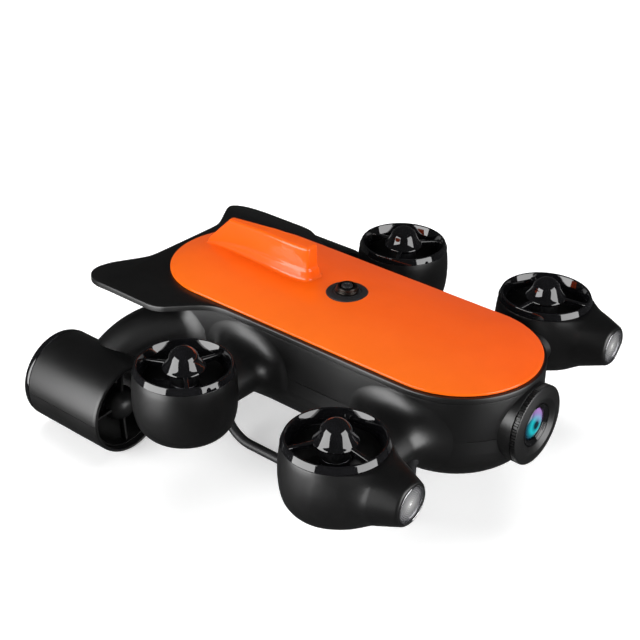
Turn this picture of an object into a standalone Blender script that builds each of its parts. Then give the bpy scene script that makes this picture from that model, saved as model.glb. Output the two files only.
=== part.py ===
"""Six-thruster underwater drone, modelled as the separate pieces it is assembled from.

Metres, +Z up. The nose looks along -Y and the craft's left-hand side is +X. Shapes are drawn
about the datum: the point midway between the four lift thrusters, at the height of their rims.
The empty at the datum lifts the whole craft so that it stands on z = 0, centred on x = y = 0.
"""

import math

import bmesh
import bpy
from mathutils import Vector

# Driving dimensions
BEZEL_FRONT = 0.1458
WING_TAIL = 0.2185
GROUND_Z = -0.1028
DATUM = (0.0, (BEZEL_FRONT - WING_TAIL) / 2, -GROUND_Z)
GAP = 0.0003
WALL = 0.003

HULL_HALF = 0.065
HULL_FRONT = -0.0724
HULL_REAR = 0.1246
SEAM_Z = -0.027
ROOF_Z = 0.0035
KEEL_Z = -0.0658
KEEL_HALF = 0.0420
BILGE = ((0.0500, -0.0634), (0.0550, -0.0602), (0.0600, -0.0548), (0.0638, -0.0470),
         (HULL_HALF, -0.0380))

COVER_HALF = 0.0625
COVER_EDGE_Z = 0.0106
COVER_CROWN = 0.009
COVER_SKIN = 0.0025
DECK_LOW = ROOF_Z + GAP
DECK_HIGH = 0.008
WING_ROOT_X = HULL_HALF + GAP
WING_ROOT_Y = HULL_REAR + HULL_HALF + GAP

LIFT_X = 0.130
LIFT_Y = 0.0691
LIFT_R = 0.0365
DUCT_R = 0.0334
BLADE_R = 0.0316
SHAFT_R = 0.00175
VANE_TURN = {"front_left": 19, "front_right": -6, "rear_left": 56, "rear_right": -41}

DRIVE_X = 0.1275
DRIVE_FRONT = 0.1305
DRIVE_Z = -0.0666
DRIVE_R = 0.036
DRIVE_LENGTH = 0.082
DRIVE_ARM_R = 0.0203
DRIVE_ARM_ROUTE = ((0.0380, 0.1150, -0.0310), (0.0789, 0.1778, -0.0148), (DRIVE_X, 0.1720, -0.0729))

EYE_Z = -0.025
EYE_R = 0.0296
LAMP_Z = -0.0245
LAMP_R = 0.0155
LAMP_FRONT = 0.1315
SOCKET_Y = 0.0263
SOCKET_R = 0.0161

SKID_X = 0.0695
SKID_Y = 0.088
SKID_R = 0.0038
SKID_LOW = GROUND_Z + SKID_R
SKID_TOP = -0.0484
SKID_BEND = 0.026

SIDES = {"left": 1, "right": -1}
ENDS = {"front": -1, "rear": 1}
ROUND_STEPS = 20
SMALL_STEPS = 12
END_STEPS = 10
FORWARD = (math.pi / 2, 0.0, 0.0)


# Scene and materials
def clear_scene():
    for obj in list(bpy.data.objects):
        bpy.data.objects.remove(obj, do_unlink=True)


def material(name, colour, roughness, metallic=0.0, alpha=1.0):
    made = bpy.data.materials.new(name)
    made.use_nodes = True
    shader = made.node_tree.nodes["Principled BSDF"]
    shader.inputs["Base Color"].default_value = (*colour, 1.0)
    shader.inputs["Roughness"].default_value = roughness
    shader.inputs["Metallic"].default_value = metallic
    shader.inputs["Alpha"].default_value = alpha
    return made


def make_materials():
    return {
        "orange": material("orange_gloss", (0.90, 0.12, 0.01), 0.18),
        "satin": material("black_satin", (0.020, 0.020, 0.022), 0.45),
        "gloss": material("black_gloss", (0.006, 0.006, 0.006), 0.08),
        "rubber": material("black_rubber", (0.015, 0.015, 0.015), 0.75),
        "chrome": material("chrome", (0.80, 0.80, 0.82), 0.12, metallic=1.0),
        "metal": material("motor_metal", (0.45, 0.45, 0.47), 0.35, metallic=1.0),
        "glass": material("clear_glass", (0.10, 0.35, 0.38), 0.05, alpha=0.5),
        "lens": material("lamp_lens", (0.75, 0.75, 0.76), 0.15),
        "board": material("circuit_board", (0.02, 0.14, 0.06), 0.55),
        "battery": material("battery_wrap", (0.05, 0.09, 0.22), 0.50),
        "brass": material("contact_brass", (0.70, 0.50, 0.20), 0.30, metallic=1.0),
    }


def add(name, mesh, look, parent, location=(0, 0, 0), rotation=(0, 0, 0)):
    """A named object of a mesh or a bmesh, placed in its parent's frame."""
    if isinstance(mesh, bmesh.types.BMesh):
        shape = bpy.data.meshes.new(name)
        mesh.to_mesh(shape)
        mesh.free()
        shape.shade_smooth()
        shape.set_sharp_from_angle(angle=math.radians(35))
        mesh = shape
    obj = bpy.data.objects.new(name, mesh)
    bpy.context.scene.collection.objects.link(obj)
    obj.parent = parent
    obj.location = location
    obj.rotation_euler = rotation
    if look and not obj.data.materials:
        obj.data.materials.append(look)
    return obj


def helper(name, mesh, parent, location=(0, 0, 0), rotation=(0, 0, 0)):
    """A shape that only cuts or extends another one."""
    obj = add(name, mesh, None, parent, location, rotation)
    obj.hide_render = True
    obj.display_type = "WIRE"
    return obj


def combine(obj, other, operation):
    modifier = obj.modifiers.new(f"{operation.lower()}_{other.name}", "BOOLEAN")
    modifier.operation = operation
    modifier.solver = "EXACT"
    modifier.object = other
    return obj


def cut(obj, other):
    return combine(obj, other, "DIFFERENCE")


def join(obj, other):
    return combine(obj, other, "UNION")


# Shapes
def loft(loops):
    """A closed solid through loops that have equally many points, capped at both ends."""
    bm = bmesh.new()
    rings = [[bm.verts.new(point) for point in loop] for loop in loops]
    for low, high in zip(rings, rings[1:]):
        for i, corner in enumerate(low):
            j = (i + 1) % len(low)
            bm.faces.new((corner, low[j], high[j], high[i]))
    bm.faces.new(rings[0])
    bm.faces.new(rings[-1])
    bmesh.ops.recalc_face_normals(bm, faces=bm.faces)
    return bm


def turned(profile, steps=ROUND_STEPS, angle=2 * math.pi):
    """A (radius, height) outline turned about Z; on the axis it is left open."""
    bm = bmesh.new()
    verts = [bm.verts.new((radius, 0.0, height)) for radius, height in profile]
    closed = profile[0][0] > 0
    pairs = list(zip(verts, verts[1:]))
    if closed:
        pairs.append((verts[-1], verts[0]))
    geometry = verts + [bm.edges.new(pair) for pair in pairs]
    whole = angle > 6.28
    if not whole:
        geometry.append(bm.faces.new(verts))
    bmesh.ops.spin(bm, geom=geometry, axis=(0, 0, 1), angle=angle, steps=steps, use_merge=whole)
    bmesh.ops.remove_doubles(bm, verts=bm.verts, dist=1e-6)
    bmesh.ops.dissolve_degenerate(bm, edges=bm.edges, dist=1e-7)
    bmesh.ops.recalc_face_normals(bm, faces=bm.faces)
    return bm


def stadium(half, z, front=HULL_FRONT, rear=HULL_REAR):
    """The round-ended outline of the hull, one loop of points at height z."""
    points = []
    for centre, start in ((rear, 0.0), (front, math.pi)):
        for i in range(END_STEPS + 1):
            angle = start + math.pi * i / END_STEPS
            points.append((half * math.cos(angle), centre + half * math.sin(angle), z))
    return points


def stadium_solid(sections):
    return loft([stadium(half, z) for half, z in sections])


def cuboid(low, high):
    x0, y0, z0 = low
    x1, y1, z1 = high
    corners = ((x0, y0), (x1, y0), (x1, y1), (x0, y1))
    return loft([[(x, y, z) for x, y in corners] for z in (z0, z1)])


def soft_box(half_y, centre_y, low, high, x, round_by=0.3):
    """A rounded-rectangle loop in the plane at x, from height low to high."""
    half_z = (high - low) / 2
    corner = round_by * min(half_y, half_z) * 2
    points = []
    for k, (side_y, side_z) in enumerate(((1, 1), (-1, 1), (-1, -1), (1, -1))):
        for i in range(3):
            angle = math.pi / 2 * (k + i / 2)
            y = side_y * (half_y - corner) + corner * math.cos(angle)
            z = side_z * (half_z - corner) + corner * math.sin(angle)
            points.append((x, centre_y + y, (low + high) / 2 + z))
    return points


def crown_z(x, y):
    """Height of the orange cover's skin above the point x, y."""
    along = y - min(max(y, HULL_FRONT), HULL_REAR)
    share = min(math.hypot(x, along) / COVER_HALF, 1.0)
    return COVER_EDGE_Z + COVER_CROWN * (1 - share**2)


# Hull
def make_hull(looks, datum):
    roofed = (
        (0.0620, 0.0005), (0.0620, -0.0180), (0.0600, -0.0200), (0.0600, SEAM_Z + GAP / 2),
        (HULL_HALF, SEAM_Z + GAP / 2), (HULL_HALF, ROOF_Z - 0.001), (HULL_HALF - 0.001, ROOF_Z),
    )
    tub = (
        (0.0460, KEEL_Z + WALL), (0.0550, -0.0570), (0.0615, -0.0460), (0.0620, -0.0370),
        (0.0600, -0.0350), (0.0600, SEAM_Z - GAP / 2), (0.0615, SEAM_Z - GAP / 2),
        (0.0615, SEAM_Z - 0.002), (0.0635, SEAM_Z - 0.002), (0.0635, SEAM_Z - GAP / 2),
        (HULL_HALF, SEAM_Z - GAP / 2), *reversed(BILGE), (KEEL_HALF, KEEL_Z),
    )
    seal = (
        (0.0618, SEAM_Z - 0.0017), (0.0618, SEAM_Z - GAP), (0.0632, SEAM_Z - GAP),
        (0.0632, SEAM_Z - 0.0017),
    )
    upper = add("upper_hull", stadium_solid(roofed), looks["satin"], datum)
    lower = add("lower_hull", stadium_solid(tub), looks["satin"], datum)
    port = ((0, 0.09), (0.0223, 0.09), (0.0223, 0.15), (0, 0.15))
    eye_bore = helper("eye_bore", turned(port), datum, (0, 0, EYE_Z), FORWARD)
    cut(upper, eye_bore)
    cut(lower, eye_bore)
    neck = ((0, -0.03), (0.0093, -0.03), (0.0093, 0.012), (0, 0.012))
    neck_bore = helper("neck_bore", turned(neck), datum, (0, SOCKET_Y, 0))
    cut(upper, neck_bore)
    cut(add("hull_seal", ring_of(seal), looks["rubber"], datum), eye_bore)
    make_deck(looks, datum, neck_bore)
    make_cover(looks, datum)


def hull_clearance(name, datum):
    """The hull and deck's outer shape and a gap around it, to cut what meets its flank."""
    sections = [(half + GAP, z) for half, z in ((KEEL_HALF, KEEL_Z), *BILGE)]
    return helper(name, stadium_solid([*sections, (HULL_HALF + GAP, 2 * DECK_HIGH)]), datum)


def ring_of(sections):
    """A stadium-shaped ring whose cross-section is closed through the given points."""
    bm = bmesh.new()
    rings = [[bm.verts.new(point) for point in stadium(half, z)] for half, z in sections]
    for low, high in zip(rings, rings[1:] + rings[:1]):
        for i, corner in enumerate(low):
            j = (i + 1) % len(low)
            bm.faces.new((corner, low[j], high[j], high[i]))
    bmesh.ops.recalc_face_normals(bm, faces=bm.faces)
    return bm


def droop(x, y):
    """How far the deck has dropped below its middle at x, y, out on the tail wing."""
    out = max(abs(x) - WING_ROOT_X, 0) / 0.024
    back = max(y - WING_ROOT_Y, 0) / 0.030
    return 0.0048 * min(out, 1.1) ** 1.3 + 0.0014 * min(back, 1.0)


def deck_outline():
    """The deck from above: the hull's outline, spread into a swallow-tailed wing behind."""
    half = [(HULL_HALF * math.sin(a), HULL_FRONT - HULL_HALF * math.cos(a))
            for a in (math.pi / 2 * i / (END_STEPS // 2) for i in range(END_STEPS // 2 + 1))]
    half += [(0.0650, 0.090), (0.0662, 0.098), (0.0700, 0.107), (0.0838, 0.1275)]
    half += [(0.0882, 0.1345), (0.0905, 0.143), (0.0910, 0.152), (0.0910, 0.194)]
    half += [(0.0902, 0.2055), (0.0868, 0.2130), (0.0805, WING_TAIL), (0.0750, 0.2175)]
    half += [(0.0414, 0.1972), (0.0360, 0.1960), (0.0, 0.1960)]
    left = [(-x, y) for x, y in reversed(half[1:-1])]
    return half + left


def make_deck(looks, datum, neck_bore):
    outline = deck_outline()
    bm = loft([[(x, y, z) for x, y in outline] for z in (DECK_LOW, DECK_HIGH)])
    folds = [(side * x, 0) for side in (-1, 1) for x in (WING_ROOT_X, 0.073, 0.081)]
    for x, y in [*folds, (0, WING_ROOT_Y)]:
        geometry = list(bm.verts) + list(bm.edges) + list(bm.faces)
        bmesh.ops.bisect_plane(bm, geom=geometry, plane_co=(x, y, 0), plane_no=(x, y, 0))
    bmesh.ops.triangulate(bm, faces=bm.faces)
    for vert in bm.verts:
        vert.co.z -= droop(vert.co.x, vert.co.y)
    deck = add("wing_deck", bm, looks["satin"], datum)
    cut(deck, neck_bore)


def make_cover(looks, datum):
    insets = (0.0008, 0.006, 0.018, 0.036, 0.058)
    under = DECK_HIGH + GAP
    inner = COVER_HALF - COVER_SKIN
    inside = [(COVER_HALF - t, crown_z(COVER_HALF - t, 0) - COVER_SKIN)
              for t in reversed(insets[1:])]
    outside = [(COVER_HALF - t, crown_z(COVER_HALF - t, 0)) for t in insets]
    sections = inside + [(inner, under), (COVER_HALF, under), (COVER_HALF, COVER_EDGE_Z - 0.0008)]
    cover = add("top_cover", stadium_solid(sections + outside), looks["orange"], datum)
    ridge = helper("ridge", loft([ridge_loop(*row) for row in RIDGE]), datum)
    join(cover, ridge)
    hole = ((0, 0), (SOCKET_R + GAP, 0), (SOCKET_R + GAP, 0.03), (0, 0.03))
    cut(cover, helper("socket_hole", turned(hole), datum, (0, SOCKET_Y, 0)))


# The ridge along the cover: y, half-width at the foot, half-width of the crest, crest height
RIDGE = (
    (0.1690, 0.0030, 0.0012, 0.0178),
    (0.1610, 0.0056, 0.0018, 0.0265),
    (0.1520, 0.0075, 0.0025, 0.0370),
    (0.1430, 0.0086, 0.0033, 0.0434),
    (0.1300, 0.0094, 0.0042, 0.0456),
    (0.1000, 0.0104, 0.0058, 0.0460),
    (0.0750, 0.0112, 0.0070, 0.0455),
    (0.0620, 0.0112, 0.0070, 0.0446),
    (0.0560, 0.0092, 0.0052, 0.0420),
    (0.0535, 0.0064, 0.0030, 0.0370),
)


def ridge_loop(y, foot, crest, top):
    base = crown_z(0, y) - 0.0012
    rise = top - base
    half = ((foot, 0), (foot * 0.96, rise * 0.28), (crest * 1.16, rise * 0.42),
            (crest, rise * 0.86), (crest * 0.62, rise))
    side = [(x, y, base + z) for x, z in half]
    return side + [(-x, y, z) for x, y, z in reversed(side)]


# Inside the hull and on its top
def make_inside(looks, datum):
    outline = [(0.042, -0.024), (0.042, 0.104), (0.036, 0.110), (-0.036, 0.110),
               (-0.042, 0.104), (-0.042, -0.024), (-0.036, -0.030), (0.036, -0.030)]
    floor = KEEL_Z + WALL + GAP
    pack = loft([[(x, y, z) for x, y in outline] for z in (floor, -0.026)])
    add("battery_pack", pack, looks["battery"], datum)
    board = add("control_board", cuboid((-0.040, -0.028, -0.0200), (0.040, 0.108, -0.0184)),
                looks["board"], datum)
    chips = (((-0.020, 0.004), 0.012, -0.0160), ((0.018, 0.070), 0.009, -0.0150),
             ((-0.018, 0.060), 0.007, -0.0130), ((0.022, 0.010), 0.006, -0.0140))
    for i, ((x, y), half, top) in enumerate(chips):
        chip = cuboid((x - half, y - half, -0.0190), (x + half, y + half, top))
        join(board, helper(f"chip_{i}", chip, datum))
    feet = [(x, y) for x in (0.034, -0.034) for y in (-0.020, 0.098)]
    for i, (x, y) in enumerate(feet):
        post = cuboid((x - 0.003, y - 0.003, -0.026 + GAP), (x + 0.003, y + 0.003, -0.0190))
        join(board, helper(f"post_{i}", post, datum))


def make_socket(looks, datum):
    place = (0, SOCKET_Y, 0)
    flange = ((0.0056, -0.008), (0.0090, -0.008), (0.0090, DECK_HIGH + GAP),
              (SOCKET_R, DECK_HIGH + GAP), (SOCKET_R, 0.0192), (0.0152, 0.0201), (0.0098, 0.0201),
              (0.0094, 0.0197), (0.0056, 0.0197))
    collar = ((0.0056, 0.0204), (0.0088, 0.0204), (0.0088, 0.0218), (0.0080, 0.0226),
              (0.0080, 0.0244), (0.0072, 0.0251), (0.0056, 0.0251))
    core = ((0, -0.010), (0.0044, -0.010), (0.0044, 0.0250), (0.0036, 0.0258), (0, 0.0258))
    add("socket_flange", turned(flange), looks["satin"], datum, place)
    add("socket_collar", turned(collar), looks["gloss"], datum, place)
    add("socket_core", turned(core, steps=SMALL_STEPS), looks["rubber"], datum, place)


def make_camera(looks, datum):
    place = (0, 0, EYE_Z)
    boss = ((0.0223, 0.1240), (EYE_R, 0.1240), (EYE_R, 0.1400), (0.0223, 0.1400))
    collar = add("camera_boss", turned(boss), looks["satin"], datum, place, FORWARD)
    cut(collar, hull_clearance("nose_clearance", datum))
    under_deck = cuboid((-0.03, -0.137, DECK_LOW - GAP), (0.03, -0.10, 0.03))
    cut(collar, helper("deck_clearance", under_deck, datum))
    housing = ((0, 0.1120), (0.0220, 0.1120), (0.0220, 0.1397), (0.0172, 0.1397),
               (0.0172, 0.1150), (0, 0.1150))
    bezel = ((0.0156, 0.1403), (EYE_R, 0.1403), (EYE_R, 0.1440), (0.0288, 0.1449),
             (0.0211, BEZEL_FRONT), (0.0160, 0.1432), (0.0156, 0.1426))
    retainer = ((0.0122, 0.1403), (0.0153, 0.1403), (0.0153, 0.1428), (0.0146, 0.1433),
                (0.0128, 0.1420), (0.0122, 0.1412))
    window = ((0, 0.1383), (0.0168, 0.1383), (0.0168, 0.1400), (0.0119, 0.1400),
              (0.0119, 0.1407), (0.0080, 0.1413), (0, 0.1416))
    barrel = ((0, 0.1173), (0.0110, 0.1173), (0.0110, 0.1280), (0.0140, 0.1280),
              (0.0140, 0.1370), (0.0120, 0.1378), (0.0095, 0.1366), (0, 0.1356))
    board = ((0, 0.1153), (0.0160, 0.1153), (0.0160, 0.1170), (0, 0.1170))
    add("camera_housing", turned(housing), looks["satin"], datum, place, FORWARD)
    add("camera_bezel", turned(bezel), looks["satin"], datum, place, FORWARD)
    add("camera_retainer", turned(retainer), looks["gloss"], datum, place, FORWARD)
    add("camera_window", turned(window), looks["glass"], datum, place, FORWARD)
    add("camera_lens", turned(barrel, steps=SMALL_STEPS), looks["gloss"], datum, place, FORWARD)
    add("camera_board", turned(board, steps=SMALL_STEPS), looks["board"], datum, place, FORWARD)


# Thruster parts that repeat
def blade(hand, root, tip):
    """One propeller blade from radius root to tip along +X, twisted flatter towards the tip."""
    loops = []
    for share in (0.0, 0.4, 1.0):
        radius = root + (tip - root) * share
        pitch = math.radians(48 - 26 * share) * hand
        chord = 0.0095 + 0.0065 * math.sin(math.pi * (0.15 + 0.6 * share))
        thick = 0.0019 - 0.0009 * share
        loop = []
        for along, out in ((-0.5, 0.0), (-0.1, 0.5), (0.5, 0.0), (-0.1, -0.5)):
            u = along * chord
            v = out * thick
            loop.append((radius, u * math.cos(pitch) - v * math.sin(pitch),
                         u * math.sin(pitch) + v * math.cos(pitch)))
        loops.append(loop)
    return loft(loops)


def baked(name, obj, helpers):
    """The mesh of obj with its Booleans worked out; obj and its helpers are removed."""
    bpy.context.view_layer.update()
    graph = bpy.context.evaluated_depsgraph_get()
    mesh = bpy.data.meshes.new_from_object(obj.evaluated_get(graph))
    mesh.name = name
    mesh.shade_smooth()
    mesh.set_sharp_from_angle(angle=math.radians(35))
    for used in [obj, *helpers]:
        bpy.data.objects.remove(used, do_unlink=True)
    return mesh


def propeller_mesh(name, look, hub_profile, middle, hand):
    """A hub on its shaft with three blades; middle is the blades' height on the axis."""
    hub = add(f"{name}_hub", turned(hub_profile, steps=SMALL_STEPS), look, None)
    blades = []
    for k in range(3):
        made = helper(f"{name}_blade_{k}", blade(hand, 0.0075, BLADE_R), None, (0, 0, middle))
        made.rotation_euler = (0, 0, 2 * math.pi * k / 3)
        blades.append(made)
        join(hub, made)
    return baked(name, hub, blades)


def spider_mesh(name, look, ring_profile, hub_profile, spoke_loops, count):
    """A ring and a hub joined by spokes; the first spoke runs along +X."""
    ring = add(f"{name}_ring", turned(ring_profile), look, None)
    hub = helper(f"{name}_hub", turned(hub_profile, steps=SMALL_STEPS), None)
    join(ring, hub)
    spokes = []
    for k in range(count):
        spoke = helper(f"{name}_spoke_{k}", loft(spoke_loops), None)
        spoke.rotation_euler = (0, 0, 2 * math.pi * k / count)
        spokes.append(spoke)
        join(ring, spoke)
    return baked(name, ring, [hub, *spokes])


def upright(x, half, low, high):
    """A spoke's cross-section at distance x, half as wide as given, between two heights."""
    return [(x, -half, low), (x, half, low), (x, half, high), (x, -half, high)]


# Lift thrusters
BOWL = (
    (0.0363, -0.0053), (0.0376, -0.0150), (0.0382, -0.0240), (0.0375, -0.0360),
    (0.0346, -0.0482), (0.0280, -0.0540),
)
DUCT = (
    (0.0245, -0.0540), (0.0312, -0.0455), (DUCT_R, -0.0380), (DUCT_R, -0.0126),
    (0.0340, -0.0123), (0.0340, -0.0053),
)


def guard_mesh(look):
    ring = (
        (0.0320, -0.0120), (0.0324, -0.0030), (0.0339, 0.0), (0.0358, -0.0012),
        (LIFT_R, -0.0050), (0.0333, -0.0050), (0.0333, -0.0120),
    )
    dome = (
        (0, 0.0127), (0.0068, 0.0110), (0.0115, 0.0052), (0.0138, -0.0045), (0.0115, -0.0045),
        (0.0110, 0.0012), (0.0078, 0.0062), (0, 0.0092),
    )
    spoke = [upright(0.0120, 0.0011, -0.0040, 0.0010), upright(0.0326, 0.0008, -0.0070, -0.0025)]
    return spider_mesh("guard", look, ring, dome, spoke, 3)


def bearing_spider(name, parent, place, turn):
    """Spokes and a bearing hub across the bowl's outlet, to be joined to the bowl."""
    hub = ((0.0020, -0.0520), (0.0060, -0.0520), (0.0070, -0.0500), (0.0060, -0.0475),
           (0.0020, -0.0475))
    made = helper(f"{name}_bearing", turned(hub, steps=SMALL_STEPS), parent, place)
    spoke = [upright(0.0050, 0.0012, -0.0515, -0.0480), upright(0.0280, 0.0010, -0.0515, -0.0485)]
    for k in range(3):
        spoke_part = helper(f"{name}_strut_{k}", loft(spoke), parent, place)
        spoke_part.rotation_euler = (0, 0, 2 * math.pi * k / 3 + turn)
        join(made, spoke_part)
    return made


def make_bowl(name, end, looks, datum, place, turn):
    """The thruster's bowl-shaped casing; the front ones carry a lamp pod on their nose."""
    rim = BOWL[0][1]
    outlet = BOWL[-1][1]
    if end == "rear":
        bowl = add(name, turned(BOWL + DUCT), looks["satin"], datum, place)
        return join(bowl, bearing_spider(name, datum, place, turn))
    bowl = add(name, turned(((0, rim), *BOWL, (0, outlet))), looks["satin"], datum, place)
    tip = LAMP_FRONT - LIFT_Y
    pod = ((0, 0.010), (0.0330, 0.010), (0.0265, tip - 0.0330), (LAMP_R + 0.0004, tip - 0.0010),
           (LAMP_R - 0.0010, tip), (0, tip))
    above = ((0, rim), (0.060, rim), (0.060, 0.03), (0, 0.03))
    duct = ((0, -0.060), (0.0200, -0.060), *DUCT, (0.0340, 0.02), (0, 0.02))
    pocket = ((0, tip - 0.0120), (0.0137, tip - 0.0120), (0.0137, tip + 0.01), (0, tip + 0.01))
    lamp_place = (place[0], place[1], LAMP_Z)
    join(bowl, helper(f"{name}_pod", turned(pod), datum, lamp_place, FORWARD))
    cut(bowl, helper(f"{name}_above", turned(above), datum, place))
    cut(bowl, helper(f"{name}_duct", turned(duct), datum, place))
    cut(bowl, helper(f"{name}_pocket", turned(pocket), datum, lamp_place, FORWARD))
    return join(bowl, bearing_spider(name, datum, place, turn))


def make_lift_thrusters(looks, datum):
    guard = guard_mesh(looks["gloss"])
    hub = ((0, -0.0510), (SHAFT_R, -0.0510), (SHAFT_R, -0.0440), (0.0070, -0.0410),
           (0.0095, -0.0330), (0.0095, -0.0192), (SHAFT_R, -0.0192), (SHAFT_R, -0.0110),
           (0, -0.0110))
    screws = {hand: propeller_mesh(f"lift_propeller_{hand}", looks["gloss"], hub, -0.0270, hand)
              for hand in (1, -1)}
    motor = ((0.0020, -0.0189), (0.0106, -0.0189), (0.0106, 0.0002), (0.0088, 0.0030),
             (0.0020, 0.0030))
    for end, fore in ENDS.items():
        for side, lateral in SIDES.items():
            corner = f"{end}_{side}"
            place = (lateral * LIFT_X, fore * LIFT_Y, 0)
            turn = math.radians(VANE_TURN[corner] - 90)
            make_bowl(f"bowl_{corner}", end, looks, datum, place, turn)
            add(f"guard_{corner}", guard, None, datum, place, (0, 0, turn))
            cased = turned(motor, steps=SMALL_STEPS)
            add(f"lift_motor_{corner}", cased, looks["metal"], datum, place)
            propeller = add(f"lift_propeller_{corner}", screws[fore * lateral], None, datum, place)
            propeller.rotation_euler = (0, 0, turn)
            make_lift_arm(f"lift_arm_{corner}", lateral, fore, looks, datum)


def make_lift_arm(name, lateral, fore, looks, datum):
    """The flared arm between the hull's flank and a lift thruster's bowl."""
    rows = (
        (0.0600, 0.0345, -0.0480, -0.0092), (0.0653, 0.0345, -0.0480, -0.0092),
        (0.0675, 0.0315, -0.0477, -0.0100),
        (0.0730, 0.0280, -0.0469, -0.0114), (0.0840, 0.0256, -0.0459, -0.0125),
        (0.1100, 0.0250, -0.0450, -0.0130),
    )
    loops = [soft_box(half, fore * LIFT_Y, low, high, lateral * x) for x, half, low, high in rows]
    arm = add(name, loft(loops), looks["satin"], datum)
    cut(arm, hull_clearance(f"{name}_flank", datum))
    grown = [(0.0, -0.0050)] + [(r + GAP, z) for r, z in BOWL] + [(0, -0.0543)]
    cutter = helper(f"{name}_clearance", turned(grown, steps=ROUND_STEPS), datum)
    cutter.location = (lateral * LIFT_X, fore * LIFT_Y, 0)
    cut(arm, cutter)


# Lamps
def make_lamps(looks, datum):
    tip = LAMP_FRONT
    ring = ((0.0117, tip - 0.0060), (0.0134, tip - 0.0060), (0.0134, tip + 0.0006), (0.0117, tip))
    lens = ((0, tip - 0.0050), (0.0114, tip - 0.0050), (0.0114, tip - 0.0006), (0, tip - 0.0002))
    board = ((0, tip - 0.0117), (0.0132, tip - 0.0117), (0.0132, tip - 0.0095),
             (0.0040, tip - 0.0095), (0.0030, tip - 0.0070), (0, tip - 0.0065))
    for side, lateral in SIDES.items():
        place = (lateral * LIFT_X, 0, LAMP_Z)
        add(f"lamp_ring_{side}", turned(ring), looks["chrome"], datum, place, FORWARD)
        add(f"lamp_lens_{side}", turned(lens, steps=24), looks["lens"], datum, place, FORWARD)
        plate = turned(board, steps=SMALL_STEPS)
        add(f"lamp_board_{side}", plate, looks["board"], datum, place, FORWARD)


# Drive thrusters
def drive_guards(looks, back):
    """The meshes of a drive thruster's intake and outlet guards."""
    intake_ring = ((0.0312, -0.0130), (0.0327, -0.0130), (0.0327, -0.0050), (0.0312, -0.0045))
    intake_hub = ((0, -0.0020), (0.0078, -0.0038), (0.0126, -0.0085), (0.0140, -0.0150),
                  (0.0115, -0.0150), (0.0090, -0.0105), (0, -0.0080))
    spoke = (upright(0.0120, 0.0013, -0.0140, -0.0085), upright(0.0320, 0.0010, -0.0120, -0.0070))
    outlet_ring = ((0.0327, back + 0.0061), (0.0327, back + 0.0100), (0.0312, back + 0.0100),
                   (0.0312, back), (0.0348, back), (0.0358, back + 0.0014), (DRIVE_R, back + 0.0061))
    outlet_hub = ((0.0020, back + 0.0120), (0.0070, back + 0.0120), (0.0085, back + 0.0090),
                  (0.0070, back + 0.0030), (0.0020, back + 0.0015))
    strut = (upright(0.0065, 0.0012, back + 0.0040, back + 0.0095),
             upright(0.0320, 0.0010, back + 0.0030, back + 0.0080))
    return (spider_mesh("intake_guard", looks["gloss"], intake_ring, intake_hub, spoke, 4),
            spider_mesh("outlet_guard", looks["satin"], outlet_ring, outlet_hub, strut, 3))


def make_drive_thrusters(looks, datum):
    back = -DRIVE_LENGTH
    intake, outlet = drive_guards(looks, back)
    hub = ((0, back + 0.0035), (SHAFT_R, back + 0.0035), (SHAFT_R, back + 0.0150),
           (0.0060, back + 0.0170), (0.0095, back + 0.0240), (0.0100, -0.0380),
           (0.0090, -0.0368), (SHAFT_R, -0.0368), (SHAFT_R, -0.0200), (0, -0.0200))
    motor = ((0.0020, -0.0360), (0.0110, -0.0360), (0.0122, -0.0345), (0.0122, -0.0180),
             (0.0108, -0.0155), (0.0108, -0.0146), (0.0020, -0.0146))
    for side, lateral in SIDES.items():
        place = (lateral * DRIVE_X, DRIVE_FRONT, DRIVE_Z)
        make_drive_shell(side, place, looks, datum)
        add(f"intake_guard_{side}", intake, None, datum, place, FORWARD)
        add(f"outlet_guard_{side}", outlet, None, datum, place, FORWARD)
        cased = turned(motor, steps=SMALL_STEPS)
        add(f"drive_motor_{side}", cased, looks["metal"], datum, place, FORWARD)
        screw = propeller_mesh(f"drive_propeller_mesh_{side}", looks["gloss"], hub, -0.0490, lateral)
        add(f"drive_propeller_{side}", screw, None, datum, place, FORWARD)
        make_drive_arm(f"drive_arm_{side}", lateral, looks, datum)


def make_drive_shell(side, place, looks, datum):
    """The drive thruster's tube, split at its middle height into two half shells."""
    seat = 0.0064 - DRIVE_LENGTH
    shell = ((0.0330, seat), (0.0330, 0), (0.0345, 0), (0.0357, -0.0012), (DRIVE_R, -0.0040),
             (DRIVE_R, seat))
    for half, turn, lift in (("upper", 0, GAP / 2), ("lower", math.pi, -GAP / 2)):
        spun = turned(shell, steps=ROUND_STEPS // 2, angle=math.pi)
        made = add(f"drive_shell_{half}_{side}", spun, looks["satin"], datum)
        made.location = (place[0], place[1], place[2] + lift)
        made.rotation_euler = (math.pi / 2, turn, 0)


def swept(route, radius, rings=10, steps=18):
    """A round bar along the quadratic curve through three control points."""
    start, middle, end = (Vector(point) for point in route)
    loops = []
    for k in range(rings + 1):
        share = k / rings
        centre = start * (1 - share)**2 + middle * 2 * share * (1 - share) + end * share**2
        heading = (middle - start) * (1 - share) + (end - middle) * share
        across = heading.cross(Vector((0, 0, 1))).normalized()
        over = across.cross(heading).normalized()
        loops.append([centre + radius * (across * math.cos(a) + over * math.sin(a))
                      for a in (2 * math.pi * i / steps for i in range(steps))])
    return loft(loops)


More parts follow.
